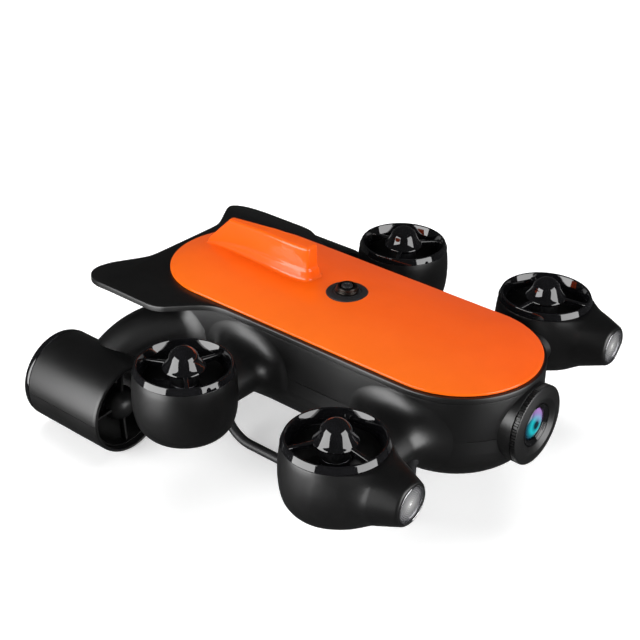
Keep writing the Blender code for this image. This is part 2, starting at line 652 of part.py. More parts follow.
def make_drive_arm(name, lateral, looks, datum):
    """The round arm that sweeps out of the hull's flank, back and down to a drive thruster."""
    route = [(lateral * x, y, z) for x, y, z in DRIVE_ARM_ROUTE]
    arm = add(name, swept(route, DRIVE_ARM_R), looks["satin"], datum)
    cut(arm, hull_clearance(f"{name}_flank", datum))
    tube = ((0, 0.01), (DRIVE_R + GAP, 0.01), (DRIVE_R + GAP, -0.10), (0, -0.10))
    place = (lateral * DRIVE_X, DRIVE_FRONT, DRIVE_Z)
    cut(arm, helper(f"{name}_tube", turned(tube, steps=ROUND_STEPS), datum, place, FORWARD))


# Landing skids
def make_skids(looks, datum):
    """Two bent tubes hung from the lift arms, which carry the craft when it stands."""
    for side, lateral in SIDES.items():
        curve = bpy.data.curves.new(f"skid_{side}", "CURVE")
        curve.dimensions = "3D"
        curve.bevel_depth = SKID_R
        curve.bevel_resolution = 2
        curve.use_fill_caps = True
        points = skid_route()
        spline = curve.splines.new("POLY")
        spline.points.add(len(points) - 1)
        for point, (y, z) in zip(spline.points, points):
            point.co = (0, y, z, 1)
        skid = bpy.data.objects.new(f"skid_{side}", curve)
        bpy.context.scene.collection.objects.link(skid)
        skid.parent = datum
        skid.location = (lateral * SKID_X, 0, 0)
        curve.materials.append(looks["rubber"])


def skid_route(steps=5):
    """Down from one arm, along the ground and up to the other, with round corners."""
    half = [(SKID_Y, SKID_TOP)]
    for i in range(steps + 1):
        angle = math.pi / 2 * i / steps
        half.append((SKID_Y - SKID_BEND + SKID_BEND * math.cos(angle),
                     SKID_LOW + SKID_BEND - SKID_BEND * math.sin(angle)))
    half += [(0.030, SKID_LOW), (0.0, SKID_LOW)]
    return half + [(-y, z) for y, z in reversed(half[:-1])]


def main():
    clear_scene()
    looks = make_materials()
    datum = bpy.data.objects.new("datum", None)
    bpy.context.scene.collection.objects.link(datum)
    datum.location = DATUM
    make_hull(looks, datum)
    make_inside(looks, datum)
    make_socket(looks, datum)
    make_camera(looks, datum)
    make_lift_thrusters(looks, datum)
    make_lamps(looks, datum)
    make_drive_thrusters(looks, datum)
    make_skids(looks, datum)


main()
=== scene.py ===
"""Looks of a six-thruster underwater drone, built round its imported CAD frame.

Shapes are drawn in craft coordinates: metres from the datum, the point midway between the four
lift thrusters at the height of their rims. The nose looks along -Y and port is +X.
"""
import math

import bmesh
import bpy
import numpy as np
from mathutils import Euler, Matrix, Vector


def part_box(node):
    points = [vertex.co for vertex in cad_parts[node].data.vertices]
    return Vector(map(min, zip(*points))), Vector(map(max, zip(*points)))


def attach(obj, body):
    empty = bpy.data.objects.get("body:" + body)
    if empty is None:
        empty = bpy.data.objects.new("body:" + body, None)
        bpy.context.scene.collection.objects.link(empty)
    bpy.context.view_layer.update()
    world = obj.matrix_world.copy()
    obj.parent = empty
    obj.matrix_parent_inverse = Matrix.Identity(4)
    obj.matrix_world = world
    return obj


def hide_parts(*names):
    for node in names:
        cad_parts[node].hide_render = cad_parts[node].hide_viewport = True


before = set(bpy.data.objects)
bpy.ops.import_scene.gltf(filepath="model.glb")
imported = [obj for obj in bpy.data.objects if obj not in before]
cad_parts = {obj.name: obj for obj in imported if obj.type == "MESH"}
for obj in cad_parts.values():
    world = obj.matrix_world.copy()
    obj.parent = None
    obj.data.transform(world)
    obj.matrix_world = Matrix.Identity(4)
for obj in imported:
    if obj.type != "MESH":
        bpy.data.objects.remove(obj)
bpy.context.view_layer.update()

SIDES = {"left": 1, "right": -1}
ENDS = {"front": -1, "rear": 1}
CORNERS = {f"{end}_{side}": (lateral, fore) for end, fore in ENDS.items()
           for side, lateral in SIDES.items()}
STEPS = 96
FORWARD = Euler((math.pi / 2, 0.0, 0.0))
EYE_R = 0.0122
SHAFT_R = 0.00175
SKIN_GAP = 0.00015


def middle(node):
    low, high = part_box(node)
    return (low + high) / 2


# Places read from the frame
DOME_TOP = 0.0127
DATUM = Vector((0.0, (middle("lift_motor_front_left").y + middle("lift_motor_rear_left").y) / 2,
                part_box("guard_front_left")[1].z - DOME_TOP))
GROUND_Z = -DATUM.z
LIFT = middle("lift_motor_rear_left") - DATUM
DRIVE = middle("drive_motor_left") - DATUM
DRIVE_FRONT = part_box("drive_shell_upper_left")[0].y - DATUM.y
DRIVE_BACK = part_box("outlet_guard_left")[1].y - DATUM.y
DRIVE_R = 0.0360
EYE = middle("camera_bezel") - DATUM
EYE_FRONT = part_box("camera_bezel")[0].y - DATUM.y
LAMP = middle("lamp_lens_left") - DATUM
SOCKET = middle("socket_flange") - DATUM
HULL_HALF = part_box("upper_hull")[1].x
HULL_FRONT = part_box("upper_hull")[0].y + HULL_HALF - DATUM.y
HULL_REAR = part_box("upper_hull")[1].y - HULL_HALF - DATUM.y
SEAM_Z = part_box("upper_hull")[0].z - DATUM.z
ROOF_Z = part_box("upper_hull")[1].z - DATUM.z
KEEL_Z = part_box("lower_hull")[0].z - DATUM.z
COVER_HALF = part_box("top_cover")[1].x
DECK_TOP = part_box("wing_deck")[1].z - DATUM.z
WING_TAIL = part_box("wing_deck")[1].y - DATUM.y
SKID_X = middle("skid_left").x
SKID_R = (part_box("skid_left")[1].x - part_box("skid_left")[0].x) / 2
SKID_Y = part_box("skid_left")[1].y - SKID_R - DATUM.y
VANE_TURN = {"front_left": 19, "front_right": -6, "rear_left": 56, "rear_right": -41}


# Node helpers
def new_material(name):
    """A material, its node tree, its Principled shader and its object-space coordinates."""
    made = bpy.data.materials.new(name)
    made.use_nodes = True
    tree = made.node_tree
    coords = tree.nodes.new("ShaderNodeTexCoord").outputs["Object"]
    return made, tree, tree.nodes["Principled BSDF"], coords


def settings(shader, **values):
    for key, value in values.items():
        shader.inputs[key.replace("_", " ")].default_value = value


def noise(tree, coords, scale, detail=3.0, roughness=0.55):
    node = tree.nodes.new("ShaderNodeTexNoise")
    node.inputs["Scale"].default_value = scale
    node.inputs["Detail"].default_value = detail
    node.inputs["Roughness"].default_value = roughness
    tree.links.new(coords, node.inputs["Vector"])
    return node.outputs["Fac"]


def ramp(tree, factor, *stops):
    """A colour ramp through (position, colour) stops."""
    node = tree.nodes.new("ShaderNodeValToRGB")
    elements = node.color_ramp.elements
    while len(elements) < len(stops):
        elements.new(0.5)
    for element, (position, colour) in zip(elements, stops):
        element.position = position
        element.color = (*colour, 1.0)
    tree.links.new(factor, node.inputs["Fac"])
    return node.outputs["Color"]


def ranged(tree, factor, low, high, source=(0.0, 1.0)):
    node = tree.nodes.new("ShaderNodeMapRange")
    node.inputs["From Min"].default_value = source[0]
    node.inputs["From Max"].default_value = source[1]
    node.inputs["To Min"].default_value = low
    node.inputs["To Max"].default_value = high
    tree.links.new(factor, node.inputs["Value"])
    return node.outputs["Result"]


def maths(tree, operation, *values):
    node = tree.nodes.new("ShaderNodeMath")
    node.operation = operation
    for slot, value in zip(node.inputs, values):
        if isinstance(value, (int, float)):
            slot.default_value = value
        else:
            tree.links.new(value, slot)
    return node.outputs["Value"]


def blended(tree, factor, first, second):
    """Two colours or values mixed; a colour may be a tuple."""
    node = tree.nodes.new("ShaderNodeMix")
    node.data_type = "RGBA"
    tree.links.new(factor, node.inputs["Factor"])
    for slot, value in ((node.inputs[6], first), (node.inputs[7], second)):
        if isinstance(value, tuple):
            slot.default_value = (*value, 1.0)
        else:
            tree.links.new(value, slot)
    return node.outputs[2]


def parts_of(tree, coords):
    node = tree.nodes.new("ShaderNodeSeparateXYZ")
    tree.links.new(coords, node.inputs["Vector"])
    return node.outputs["X"], node.outputs["Y"], node.outputs["Z"]


def bumped(tree, shader, height, strength, distance):
    node = tree.nodes.new("ShaderNodeBump")
    node.inputs["Strength"].default_value = strength
    node.inputs["Distance"].default_value = distance
    tree.links.new(height, node.inputs["Height"])
    tree.links.new(node.outputs["Normal"], shader.inputs["Normal"])


def from_axis(tree, x, y):
    """Distance from the object's own Z axis."""
    squares = maths(tree, "ADD", maths(tree, "MULTIPLY", x, x), maths(tree, "MULTIPLY", y, y))
    return maths(tree, "SQRT", squares)


# Materials
def orange_shell():
    """Clear-coated orange with painted light across it: a touch yellower and lighter to starboard,
    redder and darker to port.
    """
    made, tree, shader, coords = new_material("orange_shell")
    x, _, _ = parts_of(tree, coords)
    # painted light: the orange shifts from side to side, yellower and lighter to starboard, redder
    # and darker to port
    across = ranged(tree, x, 0.0, 1.0, (-COVER_HALF, COVER_HALF))
    tint = ramp(tree, across, (0.0, (0.78, 0.125, 0.002)), (0.45, (0.80, 0.100, 0.003)),
                (1.0, (0.82, 0.088, 0.006)))
    mottle = noise(tree, coords, 45.0)
    shade = ramp(tree, mottle, (0.30, (0.965, 0.94, 0.90)), (0.70, (1.0, 1.0, 1.0)))
    mix = tree.nodes.new("ShaderNodeMix")
    mix.data_type = "RGBA"
    mix.blend_type = "MULTIPLY"
    mix.inputs["Factor"].default_value = 1.0
    tree.links.new(tint, mix.inputs[6])
    tree.links.new(shade, mix.inputs[7])
    tree.links.new(mix.outputs[2], shader.inputs["Base Color"])
    tree.links.new(ranged(tree, mottle, 0.26, 0.36), shader.inputs["Roughness"])
    settings(shader, Specular_IOR_Level=0.15, Coat_Weight=0.4, Coat_Roughness=0.04, Coat_IOR=1.9)
    bumped(tree, shader, noise(tree, coords, 900.0), 0.05, 0.0002)
    return made


def satin_shell():
    """Moulded black plastic with a fine spark-eroded grain."""
    made, tree, shader, coords = new_material("satin_shell")
    cloud = noise(tree, coords, 28.0)
    grain = noise(tree, coords, 2600.0, 2.0)
    colour = ramp(tree, cloud, (0.30, (0.0018, 0.0018, 0.0019)), (0.72, (0.0030, 0.0030, 0.0032)))
    tree.links.new(colour, shader.inputs["Base Color"])
    tree.links.new(ranged(tree, cloud, 0.34, 0.42, (0.3, 0.7)), shader.inputs["Roughness"])
    settings(shader, Specular_IOR_Level=0.9)
    bumped(tree, shader, grain, 0.12, 0.00012)
    return made


def gloss_black(name="gloss_black", base=(0.0035, 0.0035, 0.0040), low=0.03, high=0.07):
    """Polished black with faint handling haze."""
    made, tree, shader, coords = new_material(name)
    haze = noise(tree, coords, 60.0, 5.0)
    colour = ramp(tree, haze, (0.35, base), (0.75, tuple(1.6 * channel for channel in base)))
    tree.links.new(colour, shader.inputs["Base Color"])
    tree.links.new(ranged(tree, haze, low, high, (0.35, 0.75)), shader.inputs["Roughness"])
    settings(shader, IOR=1.75)
    bumped(tree, shader, noise(tree, coords, 1400.0), 0.008, 0.0001)
    return made


def rubber():
    made, tree, shader, coords = new_material("rubber")
    grain = noise(tree, coords, 1500.0, 4.0)
    cloud = noise(tree, coords, 40.0)
    colour = ramp(tree, cloud, (0.3, (0.010, 0.010, 0.011)), (0.7, (0.018, 0.018, 0.019)))
    tree.links.new(colour, shader.inputs["Base Color"])
    tree.links.new(ranged(tree, grain, 0.34, 0.50), shader.inputs["Roughness"])
    bumped(tree, shader, grain, 0.2, 0.00015)
    return made


def bright_metal(name, colour, low, high, scale):
    """Metal with a fine turned or polished streak."""
    made, tree, shader, coords = new_material(name)
    streak = noise(tree, coords, scale, 6.0, 0.7)
    darker = tuple(0.82 * channel for channel in colour)
    tree.links.new(ramp(tree, streak, (0.3, darker), (0.7, colour)), shader.inputs["Base Color"])
    tree.links.new(ranged(tree, streak, low, high, (0.3, 0.7)), shader.inputs["Roughness"])
    settings(shader, Metallic=1.0)
    bumped(tree, shader, streak, 0.04, 0.0001)
    return made


def eye_glass():
    """Coated camera glass with its light painted on: a dark pupil of painted shade, a blue-green
    ring that is the coating's tint with its reflection painted in, and a painted violet reflection
    towards the upper port edge.
    """
    made, tree, shader, coords = new_material("eye_glass")
    x, y, _ = parts_of(tree, coords)
    radius = ranged(tree, from_axis(tree, x, y), 0.0, 1.0, (0.0, EYE_R))
    # painted light: the dark middle is painted shade, and the bright blue-green ring is the
    # coating's colour with a painted reflection
    rings = ramp(tree, radius, (0.0, (0.001, 0.012, 0.018)), (0.20, (0.001, 0.016, 0.024)),
                 (0.30, (0.004, 0.150, 0.180)), (0.50, (0.008, 0.300, 0.330)),
                 (0.74, (0.004, 0.090, 0.120)), (0.88, (0.004, 0.020, 0.035)),
                 (1.0, (0.003, 0.006, 0.010)))
    # painted reflection: violet laid over the upper port edge of the glass
    slant = maths(tree, "ADD", maths(tree, "MULTIPLY", x, 0.6), maths(tree, "MULTIPLY", y, 0.8))
    painted_violet_reflection = ranged(tree, slant, 0.0, 0.85, (0.0015, 0.0100))
    tree.links.new(blended(tree, painted_violet_reflection, rings, (0.30, 0.16, 0.42)), shader.inputs["Base Color"])
    fine = noise(tree, coords, 300.0)
    tree.links.new(ranged(tree, fine, 0.02, 0.06), shader.inputs["Roughness"])
    settings(shader, IOR=1.45)
    return made


def lamp_lens():
    """Silvered reflector under a clear lens, finely ringed, with a bright middle."""
    made, tree, shader, coords = new_material("lamp_lens")
    x, y, _ = parts_of(tree, coords)
    radius = from_axis(tree, x, y)
    wave = maths(tree, "SINE", maths(tree, "MULTIPLY", radius, 2 * math.pi / 0.0013))
    rings = maths(tree, "ADD", radius, maths(tree, "MULTIPLY", wave, 0.0022))
    centre = ranged(tree, rings, 0.0, 1.0, (0.0, 0.0120))
    tint = ramp(tree, centre, (0.0, (0.95, 0.95, 0.93)), (0.16, (0.50, 0.50, 0.50)),
                (1.0, (0.11, 0.11, 0.12)))
    tree.links.new(tint, shader.inputs["Base Color"])
    tree.links.new(ranged(tree, noise(tree, coords, 500.0), 0.18, 0.30),
                   shader.inputs["Roughness"])
    settings(shader, Metallic=0.55, Coat_Weight=0.5, Coat_Roughness=0.05)
    bumped(tree, shader, wave, 0.3, 0.0001)
    return made


def speckled(name, dark, light, roughness, scale, metallic=0.0):
    """A plain inner part: two tones in a fine pattern."""
    made, tree, shader, coords = new_material(name)
    pattern = noise(tree, coords, scale, 6.0, 0.7)
    tree.links.new(ramp(tree, pattern, (0.42, dark), (0.58, light)), shader.inputs["Base Color"])
    tree.links.new(ranged(tree, pattern, roughness - 0.08, roughness + 0.08),
                   shader.inputs["Roughness"])
    settings(shader, Metallic=metallic)
    bumped(tree, shader, pattern, 0.25, 0.0003)
    return made


LOOKS = {
    "orange_shell": orange_shell(),
    "satin_shell": satin_shell(),
    "gloss_black": gloss_black(),
    "propeller": gloss_black("propeller", (0.006, 0.006, 0.007), 0.16, 0.26),
    "rubber": rubber(),
    "chrome": bright_metal("chrome", (0.86, 0.86, 0.88), 0.05, 0.12, 220.0),
    "motor_metal": bright_metal("motor_metal", (0.30, 0.30, 0.32), 0.30, 0.45, 400.0),
    "gunmetal": bright_metal("gunmetal", (0.075, 0.065, 0.058), 0.28, 0.42, 500.0),
    "clear_glass": eye_glass(),
    "lamp_lens": lamp_lens(),
    "circuit_board": speckled("circuit_board", (0.01, 0.07, 0.03), (0.03, 0.20, 0.09), 0.5, 260.0),
    "battery_wrap": speckled("battery_wrap", (0.03, 0.06, 0.17), (0.06, 0.11, 0.26), 0.45, 90.0),
    "pebbled": speckled("pebbled", (0.008, 0.008, 0.009), (0.016, 0.016, 0.017), 0.55, 700.0),
}


# Shapes, each a pair of vertices and faces
def rounded(points, radius, closed=True, segments=4):
    """The outline with its corners rounded to about the given radius."""
    made = []
    last = len(points) - 1
    for i, point in enumerate(points):
        if not closed and i in (0, last):
            made.append(tuple(point))
            continue
        here = Vector(point)
        before = Vector(points[i - 1]) - here
        after = Vector(points[(i + 1) % len(points)]) - here
        reach = min(radius, before.length * 0.45, after.length * 0.45)
        start = here + before.normalized() * reach
        end = here + after.normalized() * reach
        for k in range(segments + 1):
            t = k / segments
            made.append(tuple(start * (1 - t)**2 + here * 2 * t * (1 - t) + end * t**2))
    return made


def curve_through(points, per_span=6):
    """A smooth open curve through the points (Catmull-Rom)."""
    rows = [np.array(p, float) for p in points]
    rows = [2 * rows[0] - rows[1], *rows, 2 * rows[-1] - rows[-2]]
    made = []
    for a, b, c, d in zip(rows, rows[1:], rows[2:], rows[3:]):
        for k in range(per_span):
            t = k / per_span
            made.append(tuple(0.5 * (2 * b + (c - a) * t + (2 * a - 5 * b + 4 * c - d) * t**2
                                     + (3 * b - a - 3 * c + d) * t**3)))
    return [*made, tuple(rows[-2])]


def turned(profile, steps=STEPS, start=0.0, angle=2 * math.pi, tooth=None):
    """A (radius, height) outline turned about Z; tooth(radius, height, angle) varies the radius."""
    whole = angle > 6.28
    count = steps if whole else steps + 1
    angles = [start + angle * i / steps for i in range(count)]
    verts, rings = [], []
    for radius, height in profile:
        if radius < 1e-7:
            rings.append([len(verts)] * count)
            verts.append((0.0, 0.0, height))
            continue
        rings.append(list(range(len(verts), len(verts) + count)))
        for a in angles:
            out = tooth(radius, height, a) if tooth else radius
            verts.append((out * math.cos(a), out * math.sin(a), height))
    on_axis = profile[0][0] < 1e-7
    pairs = list(zip(rings, rings[1:]))
    if not on_axis:
        pairs.append((rings[-1], rings[0]))
    faces = []
    for low, high in pairs:
        for i in range(steps):
            j = (i + 1) % count
            corners = list(dict.fromkeys((low[i], low[j], high[j], high[i])))
            if len(corners) > 2:
                faces.append(corners)
    if not whole:
        faces += [[ring[0] for ring in rings], [ring[-1] for ring in rings]]
    return verts, faces


def loft(loops, closed=False):
    """Through loops of equally many points, capped at both ends or joined in a ring."""
    verts = [tuple(point) for loop in loops for point in loop]
    size = len(loops[0])
    faces = []
    rows = len(loops) if closed else len(loops) - 1
    for k in range(rows):
        low, high = k * size, (k + 1) % len(loops) * size
        for i in range(size):
            j = (i + 1) % size
            faces.append([low + i, low + j, high + j, high + i])
    if not closed:
        faces += [list(range(size)), list(range(len(verts) - size, len(verts)))]
    return verts, faces


def swept(points, radius, steps=24):
    """A round bar along the points, which turn gently."""
    rows = [Vector(p) for p in points]
    side = None
    loops = []
    for i, centre in enumerate(rows):
        heading = (rows[min(i + 1, len(rows) - 1)] - rows[max(i - 1, 0)]).normalized()
        if side is None:
            side = heading.cross(Vector((0.31, 0.17, 0.93))).normalized()
        side = (side - heading * side.dot(heading)).normalized()
        over = heading.cross(side)
        loops.append([centre + radius * (side * math.cos(a) + over * math.sin(a))
                      for a in (2 * math.pi * k / steps for k in range(steps))])
    return loft(loops)


def moved(shape, matrix):
    return [tuple(matrix @ Vector(v)) for v in shape[0]], shape[1]


def spun(shape, degrees):
    return moved(shape, Matrix.Rotation(math.radians(degrees), 4, "Z"))


def shifted(shape, offset):
    return moved(shape, Matrix.Translation(offset))


def joined(*shapes):
    verts, faces = [], []
    for points, corners in shapes:
        base = len(verts)
        verts += [tuple(p) for p in points]
        faces += [[base + i for i in face] for face in corners]
    return verts, faces


def mirrored(shape):
    """The shape reflected from port to starboard, or back."""
    return [(-x, y, z) for x, y, z in shape[0]], [list(reversed(face)) for face in shape[1]]


def add(name, shape, look, nodes=(), body="craft", place=(0, 0, 0), turn=None,
        crease=38):
    """A finished piece at a place in craft coordinates, riding on a body."""
    mesh = bpy.data.meshes.new(name)
    mesh.from_pydata([tuple(v) for v in shape[0]], [], shape[1])
    bm = bmesh.new()
    bm.from_mesh(mesh)
    bmesh.ops.remove_doubles(bm, verts=bm.verts, dist=1e-7)
    bmesh.ops.recalc_face_normals(bm, faces=bm.faces)
    bm.to_mesh(mesh)
    bm.free()
    mesh.shade_smooth()
    mesh.set_sharp_from_angle(angle=math.radians(crease))
    mesh.materials.append(LOOKS[look])
    piece = bpy.data.objects.new(name, mesh)
    bpy.context.scene.collection.objects.link(piece)
    piece.location = DATUM + Vector(place)
    piece.rotation_euler = turn or Euler((0, 0, 0))
    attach(piece, body)
    if nodes:
        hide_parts(*nodes)
    return piece


# Smooth blends: signed distances, negative inside, and the surface where they are zero
def outline_distance(u, v, points):
    """Distance in a plane to a closed outline."""
    nearest = np.full(u.shape, np.inf)
    inside = np.zeros(u.shape, bool)
    for (au, av), (bu, bv) in zip(points, [*points[1:], points[0]]):
        eu, ev = bu - au, bv - av
        wu, wv = u - au, v - av
        along = np.clip((wu * eu + wv * ev) / (eu * eu + ev * ev), 0, 1)
        nearest = np.minimum(nearest, (wu - eu * along)**2 + (wv - ev * along)**2)
        if ev:
            inside ^= ((av > v) != (bv > v)) & (u < eu * (v - av) / ev + au)
    return np.where(inside, -1, 1) * np.sqrt(nearest)


def fillet_union(a, b, radius):
    """Both solids, with a round fillet of that radius where they meet."""
    u = np.maximum(radius - a, 0)
    v = np.maximum(radius - b, 0)
    return np.maximum(radius, np.minimum(a, b)) - np.hypot(u, v)


def round_overlap(a, b, radius):
    """What the two solids share, with its edge rounded to that radius."""
    u = np.maximum(radius + a, 0)
    v = np.maximum(radius + b, 0)
    return np.minimum(-radius, np.maximum(a, b)) + np.hypot(u, v)


def hull_outline():
    """The hull's side in section, as (distance from its middle, height)."""
    bilge = ((0.0420, KEEL_Z), (0.0500, -0.0634), (0.0550, -0.0602), (0.0600, -0.0548),
             (0.0638, -0.0470), (HULL_HALF, -0.0380))
    return [*curve_through(bilge, 4), (HULL_HALF, ROOF_Z)]


def hull_distance(x, y, z):
    """Distance to a surface just under the hull's own skin."""
    out = np.hypot(x, y - np.clip(y, HULL_FRONT, HULL_REAR))
    points = [(-0.03, KEEL_Z), *hull_outline(), (-0.03, ROOF_Z)]
    return outline_distance(out, z, points) + SKIN_GAP


def surface_of(field, low, high, step):
    """The vertices and faces of field(x, y, z) = 0 inside a box (surface nets)."""
    axes = [np.arange(a, b + step, step) for a, b in zip(low, high)]
    value = field(*np.meshgrid(*axes, indexing="ij"))
    cells = tuple(n - 1 for n in value.shape)
    total = np.zeros((*cells, 3))
    count = np.zeros(cells)
    quads = []
    for axis in range(3):
        near = np.moveaxis(value, axis, 0)[:-1]
        far = np.moveaxis(value, axis, 0)[1:]
        found = np.argwhere((near < 0) != (far < 0))
        a = near[tuple(found.T)]
        b = far[tuple(found.T)]
        order = [axis, *(k for k in range(3) if k != axis)]
        at = np.empty_like(found)
        at[:, order] = found
        point = at.astype(float)
        point[:, axis] += a / (a - b)
        around = []
        for du, dv in ((0, 0), (-1, 0), (-1, -1), (0, -1)):
            cell = at.copy()
            cell[:, order[1]] += du
            cell[:, order[2]] += dv
            around.append(cell)
        fits = np.all([(c >= 0).all(1) & (c < cells).all(1) for c in around], axis=0)
        for cell in around:
            kept = tuple(cell[fits].T)
            np.add.at(total, kept, point[fits])
            np.add.at(count, kept, 1)
        quads.append(np.stack([np.ravel_multi_index(tuple(c[fits].T), cells) for c in around], 1))
    used = np.flatnonzero(count.ravel())
    number = np.full(count.size, -1)
    number[used] = np.arange(len(used))
    points = total.reshape(-1, 3)[used] / count.ravel()[used, None] * step + np.array(low)
    for _ in range(3):
        points = settled(field, points, step)
    return [tuple(p) for p in points], number[np.concatenate(quads)].tolist()


def settled(field, points, step):
    """The points moved onto the surface along the field's slope, by half a step at most."""
    probe = step * 0.05
    here = field(*points.T)
    slope = np.stack([(field(*(points + probe * e).T) - field(*(points - probe * e).T)) / 2 / probe
                      for e in np.eye(3)], 1)
    steep = np.maximum((slope**2).sum(1), 0.05)
    shift = -slope * (here / steep)[:, None]
    length = np.maximum(np.linalg.norm(shift, axis=1), 1e-12)
    return points + shift * np.minimum(1, 0.5 * step / length)[:, None]


# Hull
def stadium(half, z, arc=40, straight=8):
    """The round-ended outline at height z, for a given half-width."""
    points = []
    for centre, other, start in ((HULL_REAR, HULL_FRONT, 0.0), (HULL_FRONT, HULL_REAR, math.pi)):
        for i in range(arc + 1):
            angle = start + math.pi * i / arc
            points.append((half * math.cos(angle), centre + half * math.sin(angle), z))
        x = half * math.cos(start + math.pi)
        points += [(x, centre + (other - centre) * i / straight, z) for i in range(1, straight)]
    return points


def stadium_ring(section, radius=0.0002):
    return loft([stadium(*point) for point in rounded(section, radius)], closed=True)


def make_hull():
    top = ((0.0608, SEAM_Z), (HULL_HALF, SEAM_Z), (HULL_HALF, ROOF_Z), (0.0608, ROOF_Z))
    add("hull_upper_shell", stadium_ring(top), "satin_shell", ["upper_hull"])
    seam = SEAM_Z - 0.0003
    floor = KEEL_Z + 0.003
    inner = [(0.0040, floor), (0.0440, floor), (0.0540, -0.0565), (0.0600, -0.0440), (0.0608, seam)]
    outer = [(HULL_HALF, seam), *reversed(hull_outline()[:-1]), (0.0040, KEEL_Z)]
    tub = [*rounded(inner, 0.0006, closed=False), *rounded(outer, 0.0004, closed=False, segments=2)]
    add("hull_lower_shell", loft([stadium(*p) for p in tub]), "satin_shell", ["lower_hull"])
    add("keel_plate", keel_plate(), "pebbled")
    make_screw_plugs()


def keel_plate():
    """A shallow textured wear plate let into the middle of the keel."""
    section = ((0.0340, KEEL_Z + 0.0004), (0.0340, KEEL_Z - 0.00035), (0.0040, KEEL_Z - 0.00035),
               (0.0040, KEEL_Z + 0.0004))
    return stadium_ring(section, 0.0003)


def make_screw_plugs():
    """Small plugs over the shell screws, low round the hull's ends."""
    dome = [(0.0, 0.00045), (0.0009, 0.0004), (0.0017, 0.0003), (0.0022, 0.0), (0.0022, -0.0010),
            (0.0, -0.0010)]
    shape = turned(dome, steps=24)
    plugs = []
    for end, centre in ((-1, HULL_FRONT), (1, HULL_REAR)):
        for degrees in (21, 63.5, 116.5, 159):
            angle = math.radians(degrees)
            out = Vector((math.cos(angle), end * math.sin(angle), 0))
            tilt = (out + Vector((0, 0, -0.84))).to_track_quat("Z", "Y").to_matrix().to_4x4()
            spot = out * 0.0597 + Vector((0, centre, -0.0551))
            plugs.append(moved(shape, Matrix.Translation(spot) @ tilt))
    add("hull_screw_plugs", joined(*plugs), "rubber")


# Deck and wing
WING_ROOT_X = HULL_HALF + 0.0003
WING_ROOT_Y = HULL_REAR + WING_ROOT_X


def droop(x, y):
    out = max(abs(x) - WING_ROOT_X, 0) / 0.024
    back = max(y - WING_ROOT_Y, 0) / 0.030
    return 0.0048 * min(out, 1.1) ** 1.3 + 0.0014 * min(back, 1.0)


def deck_outline():
    """The deck from above: the hull's outline, spread into a swallow-tailed wing behind."""
    nose = [(HULL_HALF * math.sin(a), HULL_FRONT - HULL_HALF * math.cos(a))
            for a in (math.pi / 2 * i / 24 for i in range(25))]
    flank = [(HULL_HALF, HULL_FRONT + (0.078 - HULL_FRONT) * i / 12) for i in range(1, 12)]
    tail = ((0.0650, 0.078), (0.0651, 0.088), (0.0664, 0.098), (0.0705, 0.1075), (0.0770, 0.1175),
            (0.0838, 0.1275), (0.0884, 0.1350), (0.0906, 0.1430), (0.0910, 0.1520),
            (0.0910, 0.1740), (0.0910, 0.1940), (0.0905, 0.2050), (0.0882, 0.2122),
            (0.0842, 0.2170), (0.0800, WING_TAIL), (0.0752, 0.2176), (0.0700, 0.2148),
            (0.0560, 0.2062), (0.0440, 0.1990), (0.0360, 0.1964), (0.0240, 0.1960), (0.0, 0.1960))
    half = [*nose, *flank, *curve_through(tail, 3)]
    return half + [(-x, y) for x, y in reversed(half[1:-1])]


def inset(outline, distance):
    """The outline moved inwards by a small distance."""
    made = []
    for i, (x, y) in enumerate(outline):
        (ax, ay), (bx, by) = outline[i - 1], outline[(i + 1) % len(outline)]
        along = Vector((bx - ax, by - ay)).normalized()
        made.append((x - along.y * distance, y + along.x * distance))
    return made


def make_deck():
    """A thin plate with soft edges, cut into strips so that it can droop towards the wing tips."""
    outline = deck_outline()
    low = DECK_TOP - 0.0044
    rows = ((0.0012, low), (0.0002, low), (0.0, low + 0.0002), (0.0, DECK_TOP - 0.0010),
            (0.00015, DECK_TOP - 0.0005), (0.0005, DECK_TOP - 0.00015), (0.0011, DECK_TOP))
    verts, faces = loft([[(x, y, z) for x, y in inset(outline, by)] for by, z in rows])
    mesh = bpy.data.meshes.new("deck_plate")
    mesh.from_pydata(verts, [], faces)
    bm = bmesh.new()
    bm.from_mesh(mesh)
    cuts = [((side * x, 0, 0), (1, 0, 0)) for side in (-1, 1)
            for x in np.linspace(WING_ROOT_X, 0.088, 9)]
    cuts += [((0, y, 0), (0, 1, 0)) for y in np.linspace(0.080, 0.214, 24)]
    for spot, normal in cuts:
        geometry = [*bm.verts, *bm.edges, *bm.faces]
        bmesh.ops.bisect_plane(bm, geom=geometry, dist=1e-5, plane_co=spot, plane_no=normal)
    for vert in bm.verts:
        vert.co.z -= droop(vert.co.x, vert.co.y)
    bm.verts.index_update()
    shape = ([tuple(v.co) for v in bm.verts], [[v.index for v in f.verts] for f in bm.faces])
    bm.free()
    bpy.data.meshes.remove(mesh)
    add("deck_wing", shape, "satin_shell", ["wing_deck"], crease=30)


# Orange cover and its ridge
CROWN_EDGE_Z = 0.0106
CROWN = 0.009


def crown_z(x, y):
    along = y - np.clip(y, HULL_FRONT, HULL_REAR)
    share = np.minimum(np.hypot(x, along) / COVER_HALF, 1.0)
    return CROWN_EDGE_Z + CROWN * (1 - share**2)


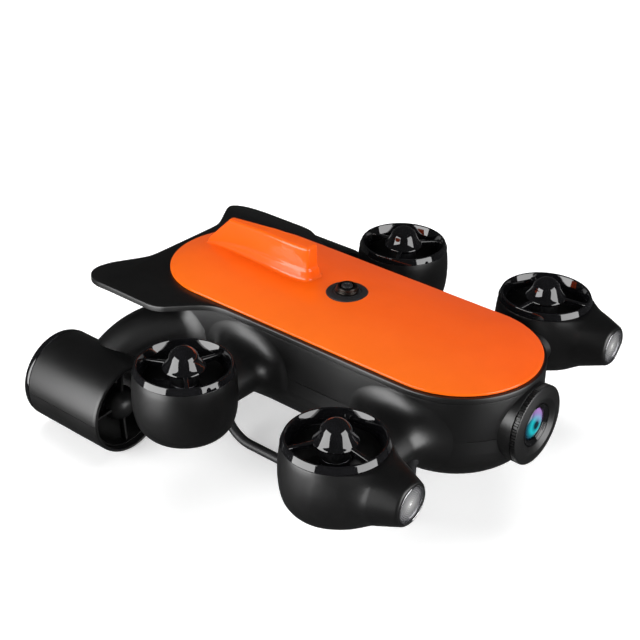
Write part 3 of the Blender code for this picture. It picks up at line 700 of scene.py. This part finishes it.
def make_cover():
    inside = [(COVER_HALF - t, float(crown_z(COVER_HALF - t, 0)) - 0.0025)
              for t in (0.0580, 0.0360, 0.0180, 0.0060)]
    low = DECK_TOP + 0.0003
    edge = [(COVER_HALF - 0.0025, low), (COVER_HALF, low), (COVER_HALF, CROWN_EDGE_Z - 0.0002)]
    top = [(COVER_HALF - t, float(crown_z(COVER_HALF - t, 0)))
           for t in (0.0012, 0.0030, 0.0060, 0.0100, 0.0150, 0.0210, 0.0280, 0.0360, 0.0450,
                     0.0540, 0.0600, 0.0620)]
    section = rounded([*inside, *edge, *top], 0.0016, closed=False)
    cover = loft([stadium(*p, arc=56) for p in section])
    add("cover_shell", cover, "orange_shell", ["top_cover"], crease=50)
    add("cover_ridge", surface_of(ridge_distance, (-0.016, 0.045, 0.009), (0.016, 0.178, 0.048),
                                  0.0006), "orange_shell", crease=60)


RIDGE_NOSE = 0.0596
RIDGE_LENGTH = 0.1072
RIDGE_HALF = ((0.0053, 0.0598), (0.0066, 0.0650), (0.0071, 0.0730), (0.0069, 0.0830),
              (0.0058, 0.1030), (0.0038, 0.1380), (0.0017, 0.1668))
RIDGE_PLAN = rounded([*((-x, y) for x, y in reversed(RIDGE_HALF)), *RIDGE_HALF], 0.0020)


def ridge_distance(x, y, z):
    """The fin on its wider plinth, filleted to the cover."""
    plan = outline_distance(x, y, RIDGE_PLAN)
    share = np.clip((y - RIDGE_NOSE) / RIDGE_LENGTH, 0, 1)
    top = np.interp(y, (0.058, 0.100, 0.143, 0.169), (0.0461, 0.0461, 0.0434, 0.0178))
    slope = np.where(y > 0.143, 0.71, 0.99)
    fin = round_overlap(plan - 0.045 * (0.046 - z), slope * (z - top), 0.0022)
    crown = crown_z(x, y)
    step = crown + 0.0085 * (1 - share**2.5)
    plinth = round_overlap(plan - 0.0016 - 0.16 * (step - z), z - step, 0.0010)
    ridge = fillet_union(fin, plinth, 0.0012)
    whole = fillet_union(ridge, z - crown + 0.00003, 0.0020)
    return np.maximum(np.maximum(whole, plan - 0.0060), crown - 0.0012 - z)


# Tether socket
def make_socket():
    place = (SOCKET.x, SOCKET.y, 0)
    flange = [(0.0056, -0.0080), (0.0090, -0.0080), (0.0090, DECK_TOP + 0.0003),
              (0.0158, DECK_TOP + 0.0003), (0.0161, 0.0192), (0.0152, 0.0201), (0.0112, 0.0201),
              (0.0108, 0.0197), (0.0098, 0.0197), (0.0094, 0.0201), (0.0056, 0.0201)]
    add("socket_disc", turned(rounded(flange, 0.0003)), "pebbled", ["socket_flange"], place=place)
    collar = [(0.0056, 0.0204), (0.0088, 0.0204), (0.0088, 0.0218), (0.0080, 0.0224),
              (0.0080, 0.0240), (0.0073, 0.0249), (0.0056, 0.0249)]

    def knurl(radius, height, angle):
        gripped = radius > 0.0076 and 0.0226 < height < 0.0240
        return radius - (0.00022 if gripped and math.sin(36 * angle) > 0 else 0.0)

    add("socket_thread", turned(rounded(collar, 0.00025), steps=288, tooth=knurl), "gunmetal",
        ["socket_collar"], place=place)
    core = [(0.0, -0.0095), (0.0044, -0.0095), (0.0044, 0.0250), (0.0036, 0.0257),
            (0.0024, 0.0257), (0.0021, 0.0249), (0.0, 0.0249)]
    pins = [spun(shifted(turned(rounded([(0.0, 0.0), (0.0004, 0.0), (0.0004, 0.0008),
                                         (0.0, 0.0008)], 0.0001, closed=False), steps=16),
                         (0.0012, 0, 0.0248)), 90 * k) for k in range(4)]
    add("socket_plug", joined(turned(rounded(core, 0.0003, closed=False)), *pins), "rubber",
        ["socket_core"], place=place)


# Camera
def make_camera():
    place = (EYE.x, 0, EYE.z)
    boss = [(0.0223, 0.1120), (0.0296, 0.1120), (0.0296, 0.1399), (0.0223, 0.1399)]
    add("camera_collar", turned(rounded(boss, 0.0005)), "satin_shell", ["camera_boss"],
        place=place, turn=FORWARD)
    face = -EYE_FRONT
    bezel = [(0.0160, 0.1402), (0.0294, 0.1402), (0.0297, 0.1405), (0.0297, 0.1436),
             (0.0294, 0.1440), (0.0288, 0.1444), (0.0222, face - 0.0001), (0.0206, face),
             (0.0163, 0.1434), (0.0160, 0.1428)]

    def knurl(radius, height, angle):
        gripped = radius > 0.0292 and 0.1401 < height < 0.1441
        return radius - (0.0011 if gripped and math.sin(84 * angle) > 0 else 0.0)

    add("camera_knurled_ring", turned(rounded(bezel, 0.0004), steps=504, tooth=knurl),
        "satin_shell", ["camera_bezel"], place=place, turn=FORWARD, crease=30)
    ring = [(0.0123, 0.1403), (0.0157, 0.1403), (0.0157, 0.1430), (0.0151, 0.1435),
            (0.0146, 0.1430), (0.0141, 0.1430), (0.0136, 0.1424), (0.0131, 0.1424),
            (0.0127, 0.1418), (0.0123, 0.1416)]
    add("camera_inner_ring", turned(rounded(ring, 0.0003)), "gloss_black", ["camera_retainer"],
        place=place, turn=FORWARD)
    dome = [(EYE_R * math.sin(a), 0.1398 + 0.0034 * math.cos(a))
            for a in (math.pi / 2 * i / 16 for i in range(17))]
    window = [*dome, (EYE_R, 0.1385), (0.0, 0.1385)]
    add("camera_front_glass", turned(window), "clear_glass", ["camera_window"], place=place,
        turn=FORWARD)


# Lift thrusters
BOWL = ((0.0363, -0.0053), (0.0372, -0.0100), (0.0379, -0.0170), (0.0382, -0.0240),
        (0.0380, -0.0310), (0.0371, -0.0390), (0.0350, -0.0465), (0.0314, -0.0517),
        (0.0280, -0.0540))
DUCT = ((0.0247, -0.0540), (0.0290, -0.0495), (0.0318, -0.0440), (0.0333, -0.0380),
        (0.0333, -0.0126), (0.0340, -0.0123), (0.0340, -0.0053))
POD_TIP = -(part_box("bowl_front_left")[0].y - DATUM.y) - LIFT.y


def bowl_outline():
    return [*curve_through(BOWL, 4), *curve_through(DUCT[:4], 4), *DUCT[4:]]


def pod_bowl_distance(x, y, z):
    """A bowl with the lamp pod blended out of its nose, about the thruster's own axis."""
    out = np.hypot(x, y)
    solid = [(-0.01, BOWL[0][1] + 0.02), (BOWL[0][0], BOWL[0][1] + 0.02), *curve_through(BOWL, 4),
             (-0.01, -0.0540)]
    shell = outline_distance(out, z, solid)
    across = np.hypot(x, z - LAMP.z)
    pod = [(-0.01, 0.010), (0.0310, 0.010), (0.0282, 0.0250), (0.0230, 0.0430),
           (0.0159, POD_TIP - 0.0012), (0.0147, POD_TIP), (-0.01, POD_TIP)]
    cone = round_overlap(outline_distance(across, -y, pod), z - BOWL[0][1], 0.0060)
    whole = fillet_union(shell, cone, 0.0085)
    whole = round_overlap(whole, z - BOWL[0][1], 0.0007)
    duct = [(-0.01, -0.07), (0.0230, -0.07), (0.0240, -0.0548), *curve_through(DUCT[:4], 4),
            *DUCT[4:6], (0.0340, 0.03), (-0.01, 0.03)]
    whole = np.maximum(whole, -outline_distance(out, z, duct))
    pocket = [(-0.01, POD_TIP - 0.0120), (0.0137, POD_TIP - 0.0120), (0.0137, POD_TIP + 0.02),
              (-0.01, POD_TIP + 0.02)]
    return np.maximum(whole, -outline_distance(across, -y, pocket))


def bar(start, end, widths, heights, segments=10):
    """A bar from start to end along +X, flat-topped with soft edges, given both ends' sizes."""
    loops = []
    for k in range(segments + 1):
        t = k / segments
        half = (widths[0] + (widths[1] - widths[0]) * t) / 2
        low = start[1] + (end[1] - start[1]) * t
        high = low + heights[0] + (heights[1] - heights[0]) * t
        corners = [(-half, low), (half, low), (half, high), (-half, high)]
        x = start[0] + (end[0] - start[0]) * t
        loops.append([(x, y, z) for y, z in rounded(corners, half * 0.7, segments=3)])
    return loft(loops)


def bearing(turn):
    """The spokes and bearing across a bowl's outlet."""
    hub = [(0.0020, -0.0520), (0.0060, -0.0520), (0.0070, -0.0500), (0.0060, -0.0475),
           (0.0020, -0.0475)]
    strut = bar((0.0055, -0.0515), (0.0285, -0.0512), (0.0024, 0.0020), (0.0036, 0.0028))
    return joined(turned(rounded(hub, 0.0005), steps=48),
                  *(spun(strut, turn + 120 * k) for k in range(3)))


def guard_shape():
    """Gloss rim with a funnelled mouth and deep skirt, the bell-shaped dome and three vanes."""
    rim = [(0.0308, -0.0120), (0.0308, -0.0066), (0.0333, -0.0006), (0.0337, 0.0),
           (0.0347, 0.0), (0.0351, -0.0005), (0.0368, -0.0047), (0.0366, -0.0050),
           (0.0333, -0.0050), (0.0333, -0.0120)]
    dome = [(0.0, DOME_TOP), (0.0032, 0.0123), (0.0062, 0.0110), (0.0085, 0.0090),
            (0.0101, 0.0068), (0.0111, 0.0042), (0.0123, 0.0018), (0.0139, -0.0006),
            (0.0157, -0.0029), (0.0152, -0.0037), (0.0124, -0.0062)]
    hollow = [(0.0114, -0.0062), (0.0102, 0.0010), (0.0078, 0.0060), (0.0040, 0.0088),
              (0.0, 0.0094)]
    vane = bar((0.0116, -0.0060), (0.0326, -0.0080), (0.0034, 0.0028), (0.0046, 0.0044))
    foot = bar((0.0285, -0.0082), (0.0326, -0.0084), (0.0028, 0.0052), (0.0044, 0.0054), 6)
    arms = [spun(shape, 120 * k) for k in range(3) for shape in (vane, foot)]
    return joined(turned(rounded(rim, 0.0003)), turned([*curve_through(dome, 5), *hollow]), *arms)


def blade(hand, root, tip, rows=14, around=20):
    """One cambered blade along +X, flatter and thinner towards its rounded tip."""
    loops = []
    for k in range(rows + 1):
        share = k / rows
        radius = root + (tip - root) * share
        pitch = math.radians(48 - 26 * share) * hand
        chord = (0.0095 + 0.0065 * math.sin(math.pi * (0.15 + 0.6 * share)))
        chord *= math.sqrt(max(1 - max(share - 0.72, 0)**2 / 0.09, 0.12))
        thick = 0.0021 - 0.0012 * share
        loop = []
        for i in range(around):
            a = 2 * math.pi * i / around
            u = 0.5 * chord * math.cos(a)
            v = 0.5 * thick * math.sin(a) + 0.0007 * (1 - (2 * u / chord)**2)
            loop.append((radius, u * math.cos(pitch) - v * math.sin(pitch),
                         u * math.sin(pitch) + v * math.cos(pitch)))
        loops.append(loop)
    return loft(loops)


def propeller(hub, middle_z, hand):
    blades = [spun(shifted(blade(hand, 0.0070, 0.0316), (0, 0, middle_z)), 120 * k)
              for k in range(3)]
    return joined(turned(rounded(hub, 0.0006, closed=False), steps=64), *blades)


def make_lift_thrusters():
    guard = guard_shape()
    pod_bowl = surface_of(pod_bowl_distance, (-0.040, -POD_TIP - 0.002, -0.0555),
                          (0.040, 0.040, -0.0040), 0.0008)
    plain_bowl = turned(rounded(bowl_outline(), 0.0003))
    hub = [(0, -0.0510), (SHAFT_R, -0.0510), (SHAFT_R, -0.0440), (0.0070, -0.0410),
           (0.0092, -0.0360), (0.0095, -0.0310), (0.0095, -0.0192), (SHAFT_R, -0.0192),
           (SHAFT_R, -0.0110), (0, -0.0110)]
    motor = [(0.0020, -0.0189), (0.0106, -0.0189), (0.0106, -0.0150), (0.0103, -0.0147),
             (0.0103, -0.0141), (0.0106, -0.0138), (0.0106, 0.0002), (0.0088, 0.0030),
             (0.0020, 0.0030)]
    for corner, (lateral, fore) in CORNERS.items():
        place = (lateral * LIFT.x, fore * LIFT.y, 0)
        turn = VANE_TURN[corner] - 90
        bowl = pod_bowl if fore < 0 else plain_bowl
        add(f"lift_bowl_{corner}", joined(bowl, bearing(turn)), "satin_shell",
            [f"bowl_{corner}"], place=place, crease=42)
        add(f"lift_guard_{corner}", spun(guard, turn), "gloss_black", [f"guard_{corner}"],
            place=place)
        add(f"lift_motor_can_{corner}", turned(rounded(motor, 0.0004)), "motor_metal",
            [f"lift_motor_{corner}"], place=place)
        add(f"lift_screw_{corner}", spun(propeller(hub, -0.0270, fore * lateral), turn),
            "propeller", [f"lift_propeller_{corner}"], f"lift_rotor_{corner}", place)


ARM_Z = -0.0291
ARM_HALF = 0.0262
ARM_TALL = 0.0172


def lift_arm_distance(fore):
    """The flared oval arm from the hull's flank to a lift bowl, on the port side."""
    def distance(x, y, z):
        wide, tall = (y - fore * LIFT.y) / ARM_HALF, (z - ARM_Z) / ARM_TALL
        size = np.hypot(wide, tall)
        oval = (size - 1) * size / np.maximum(np.hypot(wide / ARM_HALF, tall / ARM_TALL), 1e-6)
        hull = hull_distance(x, y, z)
        whole = fillet_union(np.maximum(oval, 0.050 - x), hull, 0.0170)
        whole = np.maximum(whole, -(hull + 0.0022))
        whole = np.maximum(whole, 0.0355 - np.hypot(x - LIFT.x, y - fore * LIFT.y))
        reach = np.hypot(y - fore * LIFT.y, 0.8 * (z - ARM_Z)) - 0.0480
        return np.maximum(np.maximum(whole, reach), z - ROOF_Z + 0.0001)
    return distance


def make_lift_arms():
    for end, fore in ENDS.items():
        y = fore * LIFT.y
        arm = surface_of(lift_arm_distance(fore), (0.034, y - 0.050, -0.0670),
                         (0.1080, y + 0.050, 0.0050), 0.0009)
        for side, shape in (("left", arm), ("right", mirrored(arm))):
            add(f"lift_strut_{end}_{side}", shape, "satin_shell", [f"lift_arm_{end}_{side}"],
                crease=42)


# Lamps
def make_lamps():
    tip = POD_TIP + LIFT.y
    ring = [(0.0121, tip - 0.0060), (0.0135, tip - 0.0060), (0.0135, tip - 0.0001),
            (0.0132, tip + 0.0005), (0.0127, tip + 0.0005), (0.0121, tip - 0.0006)]
    base = tip - 0.0011
    ridges = [(0.0012 + 0.00065 * k, base + 0.0004 * (1 - (k / 17)**2) + 0.00022 * (k % 2))
              for k in range(17)]
    lens = [(0.0, base + 0.0010), (0.0007, base + 0.0008), *ridges, (0.0119, base - 0.0001),
            (0.0119, tip - 0.0050), (0.0, tip - 0.0050)]
    for side, lateral in SIDES.items():
        place = (lateral * LIFT.x, 0, LAMP.z)
        add(f"lamp_bright_ring_{side}", turned(rounded(ring, 0.0003)), "chrome",
            [f"lamp_ring_{side}"], place=place, turn=FORWARD)
        add(f"lamp_reflector_{side}", turned(lens), "lamp_lens", [f"lamp_lens_{side}"],
            place=place, turn=FORWARD, crease=80)


# Drive thrusters
def drive_guards(back):
    ring = [(0.0312, -0.0130), (0.0328, -0.0130), (0.0328, -0.0050), (0.0312, -0.0045)]
    hub = [(0.0, -0.0018), (0.0040, -0.0023), (0.0078, -0.0040), (0.0108, -0.0066),
           (0.0130, -0.0100), (0.0140, -0.0150), (0.0118, -0.0150), (0.0090, -0.0105),
           (0.0, -0.0080)]
    spoke = bar((0.0115, -0.0142), (0.0320, -0.0128), (0.0026, 0.0022), (0.0056, 0.0058))
    intake = joined(turned(rounded(ring, 0.0004)), turned(curve_through(hub[:6], 5) + hub[6:]),
                    *(spun(spoke, 90 * k) for k in range(4)))
    rim = [(0.0327, back + 0.0061), (0.0327, back + 0.0100), (0.0312, back + 0.0100),
           (0.0312, back + 0.0006), (0.0318, back), (0.0344, back), (0.0355, back + 0.0010),
           (DRIVE_R, back + 0.0030), (DRIVE_R, back + 0.0061)]
    cap = [(0.0020, back + 0.0120), (0.0070, back + 0.0120), (0.0085, back + 0.0090),
           (0.0070, back + 0.0030), (0.0045, back + 0.0012), (0.0020, back + 0.0015)]
    strut = bar((0.0065, back + 0.0036), (0.0320, back + 0.0030), (0.0024, 0.0020),
                (0.0055, 0.0050))
    outlet = joined(turned(rounded(rim, 0.0005)), turned(rounded(cap, 0.0006), steps=64),
                    *(spun(strut, 120 * k) for k in range(3)))
    return intake, outlet


def drive_shell_half():
    """Half the drive tube, from one side over the top to the other."""
    seat = DRIVE_FRONT - DRIVE_BACK + 0.0065
    section = [(0.0330, seat), (0.0330, -0.0006), (0.0336, 0.0), (0.0346, 0.0), (0.0355, -0.0008),
               (DRIVE_R, -0.0028), (DRIVE_R, seat + 0.0002), (DRIVE_R - 0.0002, seat)]
    split = 0.0055
    return turned(rounded(section, 0.0004), steps=64, start=split, angle=math.pi - 2 * split)


def drive_arm_distance(x, y, z):
    """The round arm that sweeps back from the hull and down onto the port drive tube."""
    route = [np.array(p) for p in ((0.0380, 0.1150, -0.0310), (0.0789, 0.1778, -0.0148),
                                   (DRIVE.x, 0.1720, -0.0729))]
    nearest = np.full(x.shape, np.inf)
    spine = [route[0] * (1 - t)**2 + route[1] * 2 * t * (1 - t) + route[2] * t**2
             for t in np.linspace(0, 1, 25)]
    for a, b in zip(spine, spine[1:]):
        e = b - a
        along = ((x - a[0]) * e[0] + (y - a[1]) * e[1] + (z - a[2]) * e[2]) / (e @ e)
        along = np.clip(along, 0, 1)
        square = (x - a[0] - along * e[0])**2 + (y - a[1] - along * e[1])**2
        nearest = np.minimum(nearest, square + (z - a[2] - along * e[2])**2)
    hull = hull_distance(x, y, z)
    whole = fillet_union(np.sqrt(nearest) - 0.0203, hull, 0.0070)
    whole = np.maximum(whole, -(hull + 0.0022))
    tube = np.hypot(x - DRIVE.x, z - DRIVE.z) - DRIVE_R + 0.0012
    reach = np.sqrt((x - 0.058)**2 + (y - 0.146)**2 + (z + 0.028)**2) - 0.036
    near_hull = np.maximum(hull - 0.004, 0.0)
    return np.maximum(np.maximum(whole, -tube), np.where(near_hull > 0, -1.0, reach))


def make_drive_thrusters():
    back = DRIVE_FRONT - DRIVE_BACK
    intake, outlet = drive_guards(back)
    half = drive_shell_half()
    arm = surface_of(drive_arm_distance, (0.030, 0.092, -0.0700), (0.1300, 0.1990, 0.0030), 0.0010)
    hub = [(0, back + 0.0035), (SHAFT_R, back + 0.0035), (SHAFT_R, back + 0.0150),
           (0.0060, back + 0.0170), (0.0084, back + 0.0205), (0.0095, back + 0.0240),
           (0.0100, -0.0380), (0.0090, -0.0368), (SHAFT_R, -0.0368), (SHAFT_R, -0.0200),
           (0, -0.0200)]
    motor = [(0.0020, -0.0360), (0.0110, -0.0360), (0.0122, -0.0345), (0.0122, -0.0300),
             (0.0119, -0.0297), (0.0119, -0.0290), (0.0122, -0.0287), (0.0122, -0.0180),
             (0.0108, -0.0155), (0.0108, -0.0148), (0.0020, -0.0148)]
    for side, lateral in SIDES.items():
        place = (lateral * DRIVE.x, DRIVE_FRONT, DRIVE.z)
        for name, turn in (("upper", 0.0), ("lower", math.pi)):
            add(f"drive_tube_{name}_{side}", half, "satin_shell", [f"drive_shell_{name}_{side}"],
                place=place, turn=Euler((math.pi / 2, turn, 0)))
        add(f"drive_grille_{side}", intake, "satin_shell", [f"intake_guard_{side}"], place=place,
            turn=FORWARD)
        add(f"drive_end_ring_{side}", outlet, "gloss_black", [f"outlet_guard_{side}"],
            place=place, turn=FORWARD)
        add(f"drive_motor_can_{side}", turned(rounded(motor, 0.0004)), "motor_metal",
            [f"drive_motor_{side}"], place=place, turn=FORWARD)
        add(f"drive_screw_{side}", propeller(hub, -0.0490, lateral), "propeller",
            [f"drive_propeller_{side}"], f"drive_rotor_{side}", place, FORWARD)
        add(f"drive_strut_{side}", arm if lateral > 0 else mirrored(arm), "satin_shell",
            [f"drive_arm_{side}"], crease=42)


# Landing skids
def make_skids():
    low = GROUND_Z + SKID_R
    top = -0.0484
    bend = 0.026
    half = [(SKID_Y, top + (low + bend - top) * t) for t in (-0.55, 0.0, 0.35, 0.7)]
    half += [(SKID_Y - bend + bend * math.cos(a), low + bend - bend * math.sin(a))
             for a in (math.pi / 2 * i / 14 for i in range(15))]
    half += [(0.040, low), (0.020, low), (0.0, low)]
    route = half + [(-y, z) for y, z in reversed(half[:-1])]
    foot = [(0.0, top + 0.0035), (0.0048, top + 0.0035), (0.0050, top + 0.0041),
            (0.0050, top + 0.0115), (0.0, top + 0.0115)]
    for side, lateral in SIDES.items():
        x = lateral * SKID_X
        tube = swept([(x, y, z) for y, z in route], SKID_R, 28)
        cuff = turned(rounded(foot, 0.0007, closed=False), steps=48)
        feet = [shifted(cuff, (x, fore * SKID_Y, 0)) for fore in ENDS.values()]
        add(f"landing_skid_{side}", joined(tube, *feet), "rubber", [f"skid_{side}"])


def finish_inner_nodes():
    """The CAD nodes that stay: pieces inside the hull, the camera and the lamp pods."""
    looks = {"battery_pack": "battery_wrap", "control_board": "circuit_board",
             "camera_board": "circuit_board", "camera_lens": "gloss_black",
             "camera_housing": "satin_shell", "hull_seal": "rubber",
             "lamp_board_left": "circuit_board", "lamp_board_right": "circuit_board"}
    for node, look in looks.items():
        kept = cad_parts[node]
        kept.data.materials.clear()
        kept.data.materials.append(LOOKS[look])


# Studio
def make_floor():
    """A wide matt white sweep, brighter with distance, which the gloss black doesn't reflect."""
    made, tree, shader, coords = new_material("studio_floor")
    soft = noise(tree, coords, 3.0)
    colour = ramp(tree, soft, (0.3, (0.88, 0.88, 0.88)), (0.7, (0.90, 0.90, 0.90)))
    tree.links.new(colour, shader.inputs["Base Color"])
    settings(shader, Roughness=0.8, Specular_IOR_Level=0.2, Emission_Color=(1.0, 1.0, 1.0, 1.0))
    x, y, _ = parts_of(tree, coords)
    glow = ranged(tree, from_axis(tree, x, y), 0.42, 1.0, (0.5, 2.5))
    tree.links.new(glow, shader.inputs["Emission Strength"])
    sweep = [(0.0, 0.0), (24.0, 0.0), (27.0, 0.6), (29.0, 2.4), (30.0, 5.0), (30.0, 12.0)]
    verts, faces = turned(sweep)
    mesh = bpy.data.meshes.new("floor")
    mesh.from_pydata(verts, [], faces)
    mesh.materials.append(made)
    floor = bpy.data.objects.new("floor", mesh)
    floor.visible_glossy = False
    floor.visible_shadow = False
    bpy.context.scene.collection.objects.link(floor)


def make_world():
    """A dim studio, a little paler towards the horizon, so that gloss black stays black."""
    world = bpy.data.worlds.new("studio")
    world.use_nodes = True
    bpy.context.scene.world = world
    bpy.context.scene.view_settings.view_transform = "Standard"
    tree = world.node_tree
    coords = tree.nodes.new("ShaderNodeTexCoord").outputs["Generated"]
    _, _, height = parts_of(tree, coords)
    sky = ramp(tree, height, (0.0, (0.05, 0.05, 0.05)), (0.35, (0.03, 0.03, 0.03)),
               (1.0, (0.04, 0.04, 0.04)))
    tree.links.new(sky, tree.nodes["Background"].inputs["Color"])


def softbox(name, azimuth, elevation, distance, size, radiance):
    """A rectangular area light at an azimuth and elevation, facing the craft."""
    light = bpy.data.lights.new(name, "AREA")
    light.shape = "RECTANGLE"
    light.size, light.size_y = size
    light.energy = radiance * math.pi * size[0] * size[1]
    lamp = bpy.data.objects.new(name, light)
    a, e = math.radians(azimuth), math.radians(elevation)
    away = Vector((math.sin(a) * math.cos(e), -math.cos(a) * math.cos(e), math.sin(e)))
    target = Vector((0, 0, DATUM.z))
    lamp.location = target + away * distance
    lamp.rotation_euler = away.to_track_quat("Z", "Y").to_euler()
    bpy.context.scene.collection.objects.link(lamp)
    return lamp


VIEW_AZIMUTH = -50.83
VIEW_ELEVATION = 29.61
VIEW_ROLL = 1.04
VIEW_DISTANCE = 0.994
VIEW_TARGET = Vector((-0.0197, 0.0358, 0.0))
LENS = 74.8


def make_lights():
    """Two tall softboxes either side of the view, and a fill overhead that shows no reflection."""
    softbox("key_left", VIEW_AZIMUTH - 59, 8, 1.4, (1.25, 1.3), 5.0)
    softbox("key_right", VIEW_AZIMUTH + 58, 10, 1.4, (1.07, 1.3), 4.2)
    overhead = softbox("overhead", VIEW_AZIMUTH + 180, 64, 2.0, (2.4, 2.0), 2.5)
    overhead.visible_glossy = False


def make_camera_view():
    a, e, roll = (math.radians(v) for v in (VIEW_AZIMUTH, VIEW_ELEVATION, VIEW_ROLL))
    back = Vector((math.sin(a) * math.cos(e), -math.cos(a) * math.cos(e), math.sin(e)))
    right = Vector((math.cos(a), math.sin(a), 0))
    up = back.cross(right)
    tilted = right * math.cos(roll) + up * math.sin(roll)
    up = up * math.cos(roll) - right * math.sin(roll)
    data = bpy.data.cameras.new("view")
    data.lens = LENS
    camera = bpy.data.objects.new("view", data)
    bpy.context.scene.collection.objects.link(camera)
    spot = DATUM + VIEW_TARGET + back * VIEW_DISTANCE
    camera.matrix_world = Matrix.LocRotScale(spot, Matrix((tilted, up, back)).transposed(), None)
    bpy.context.scene.camera = camera


make_hull()
make_deck()
make_cover()
make_socket()
make_camera()
make_lift_thrusters()
make_lift_arms()
make_lamps()
make_drive_thrusters()
make_skids()
finish_inner_nodes()
make_floor()
make_world()
make_lights()
make_camera_view()

bpy.context.view_layer.update()
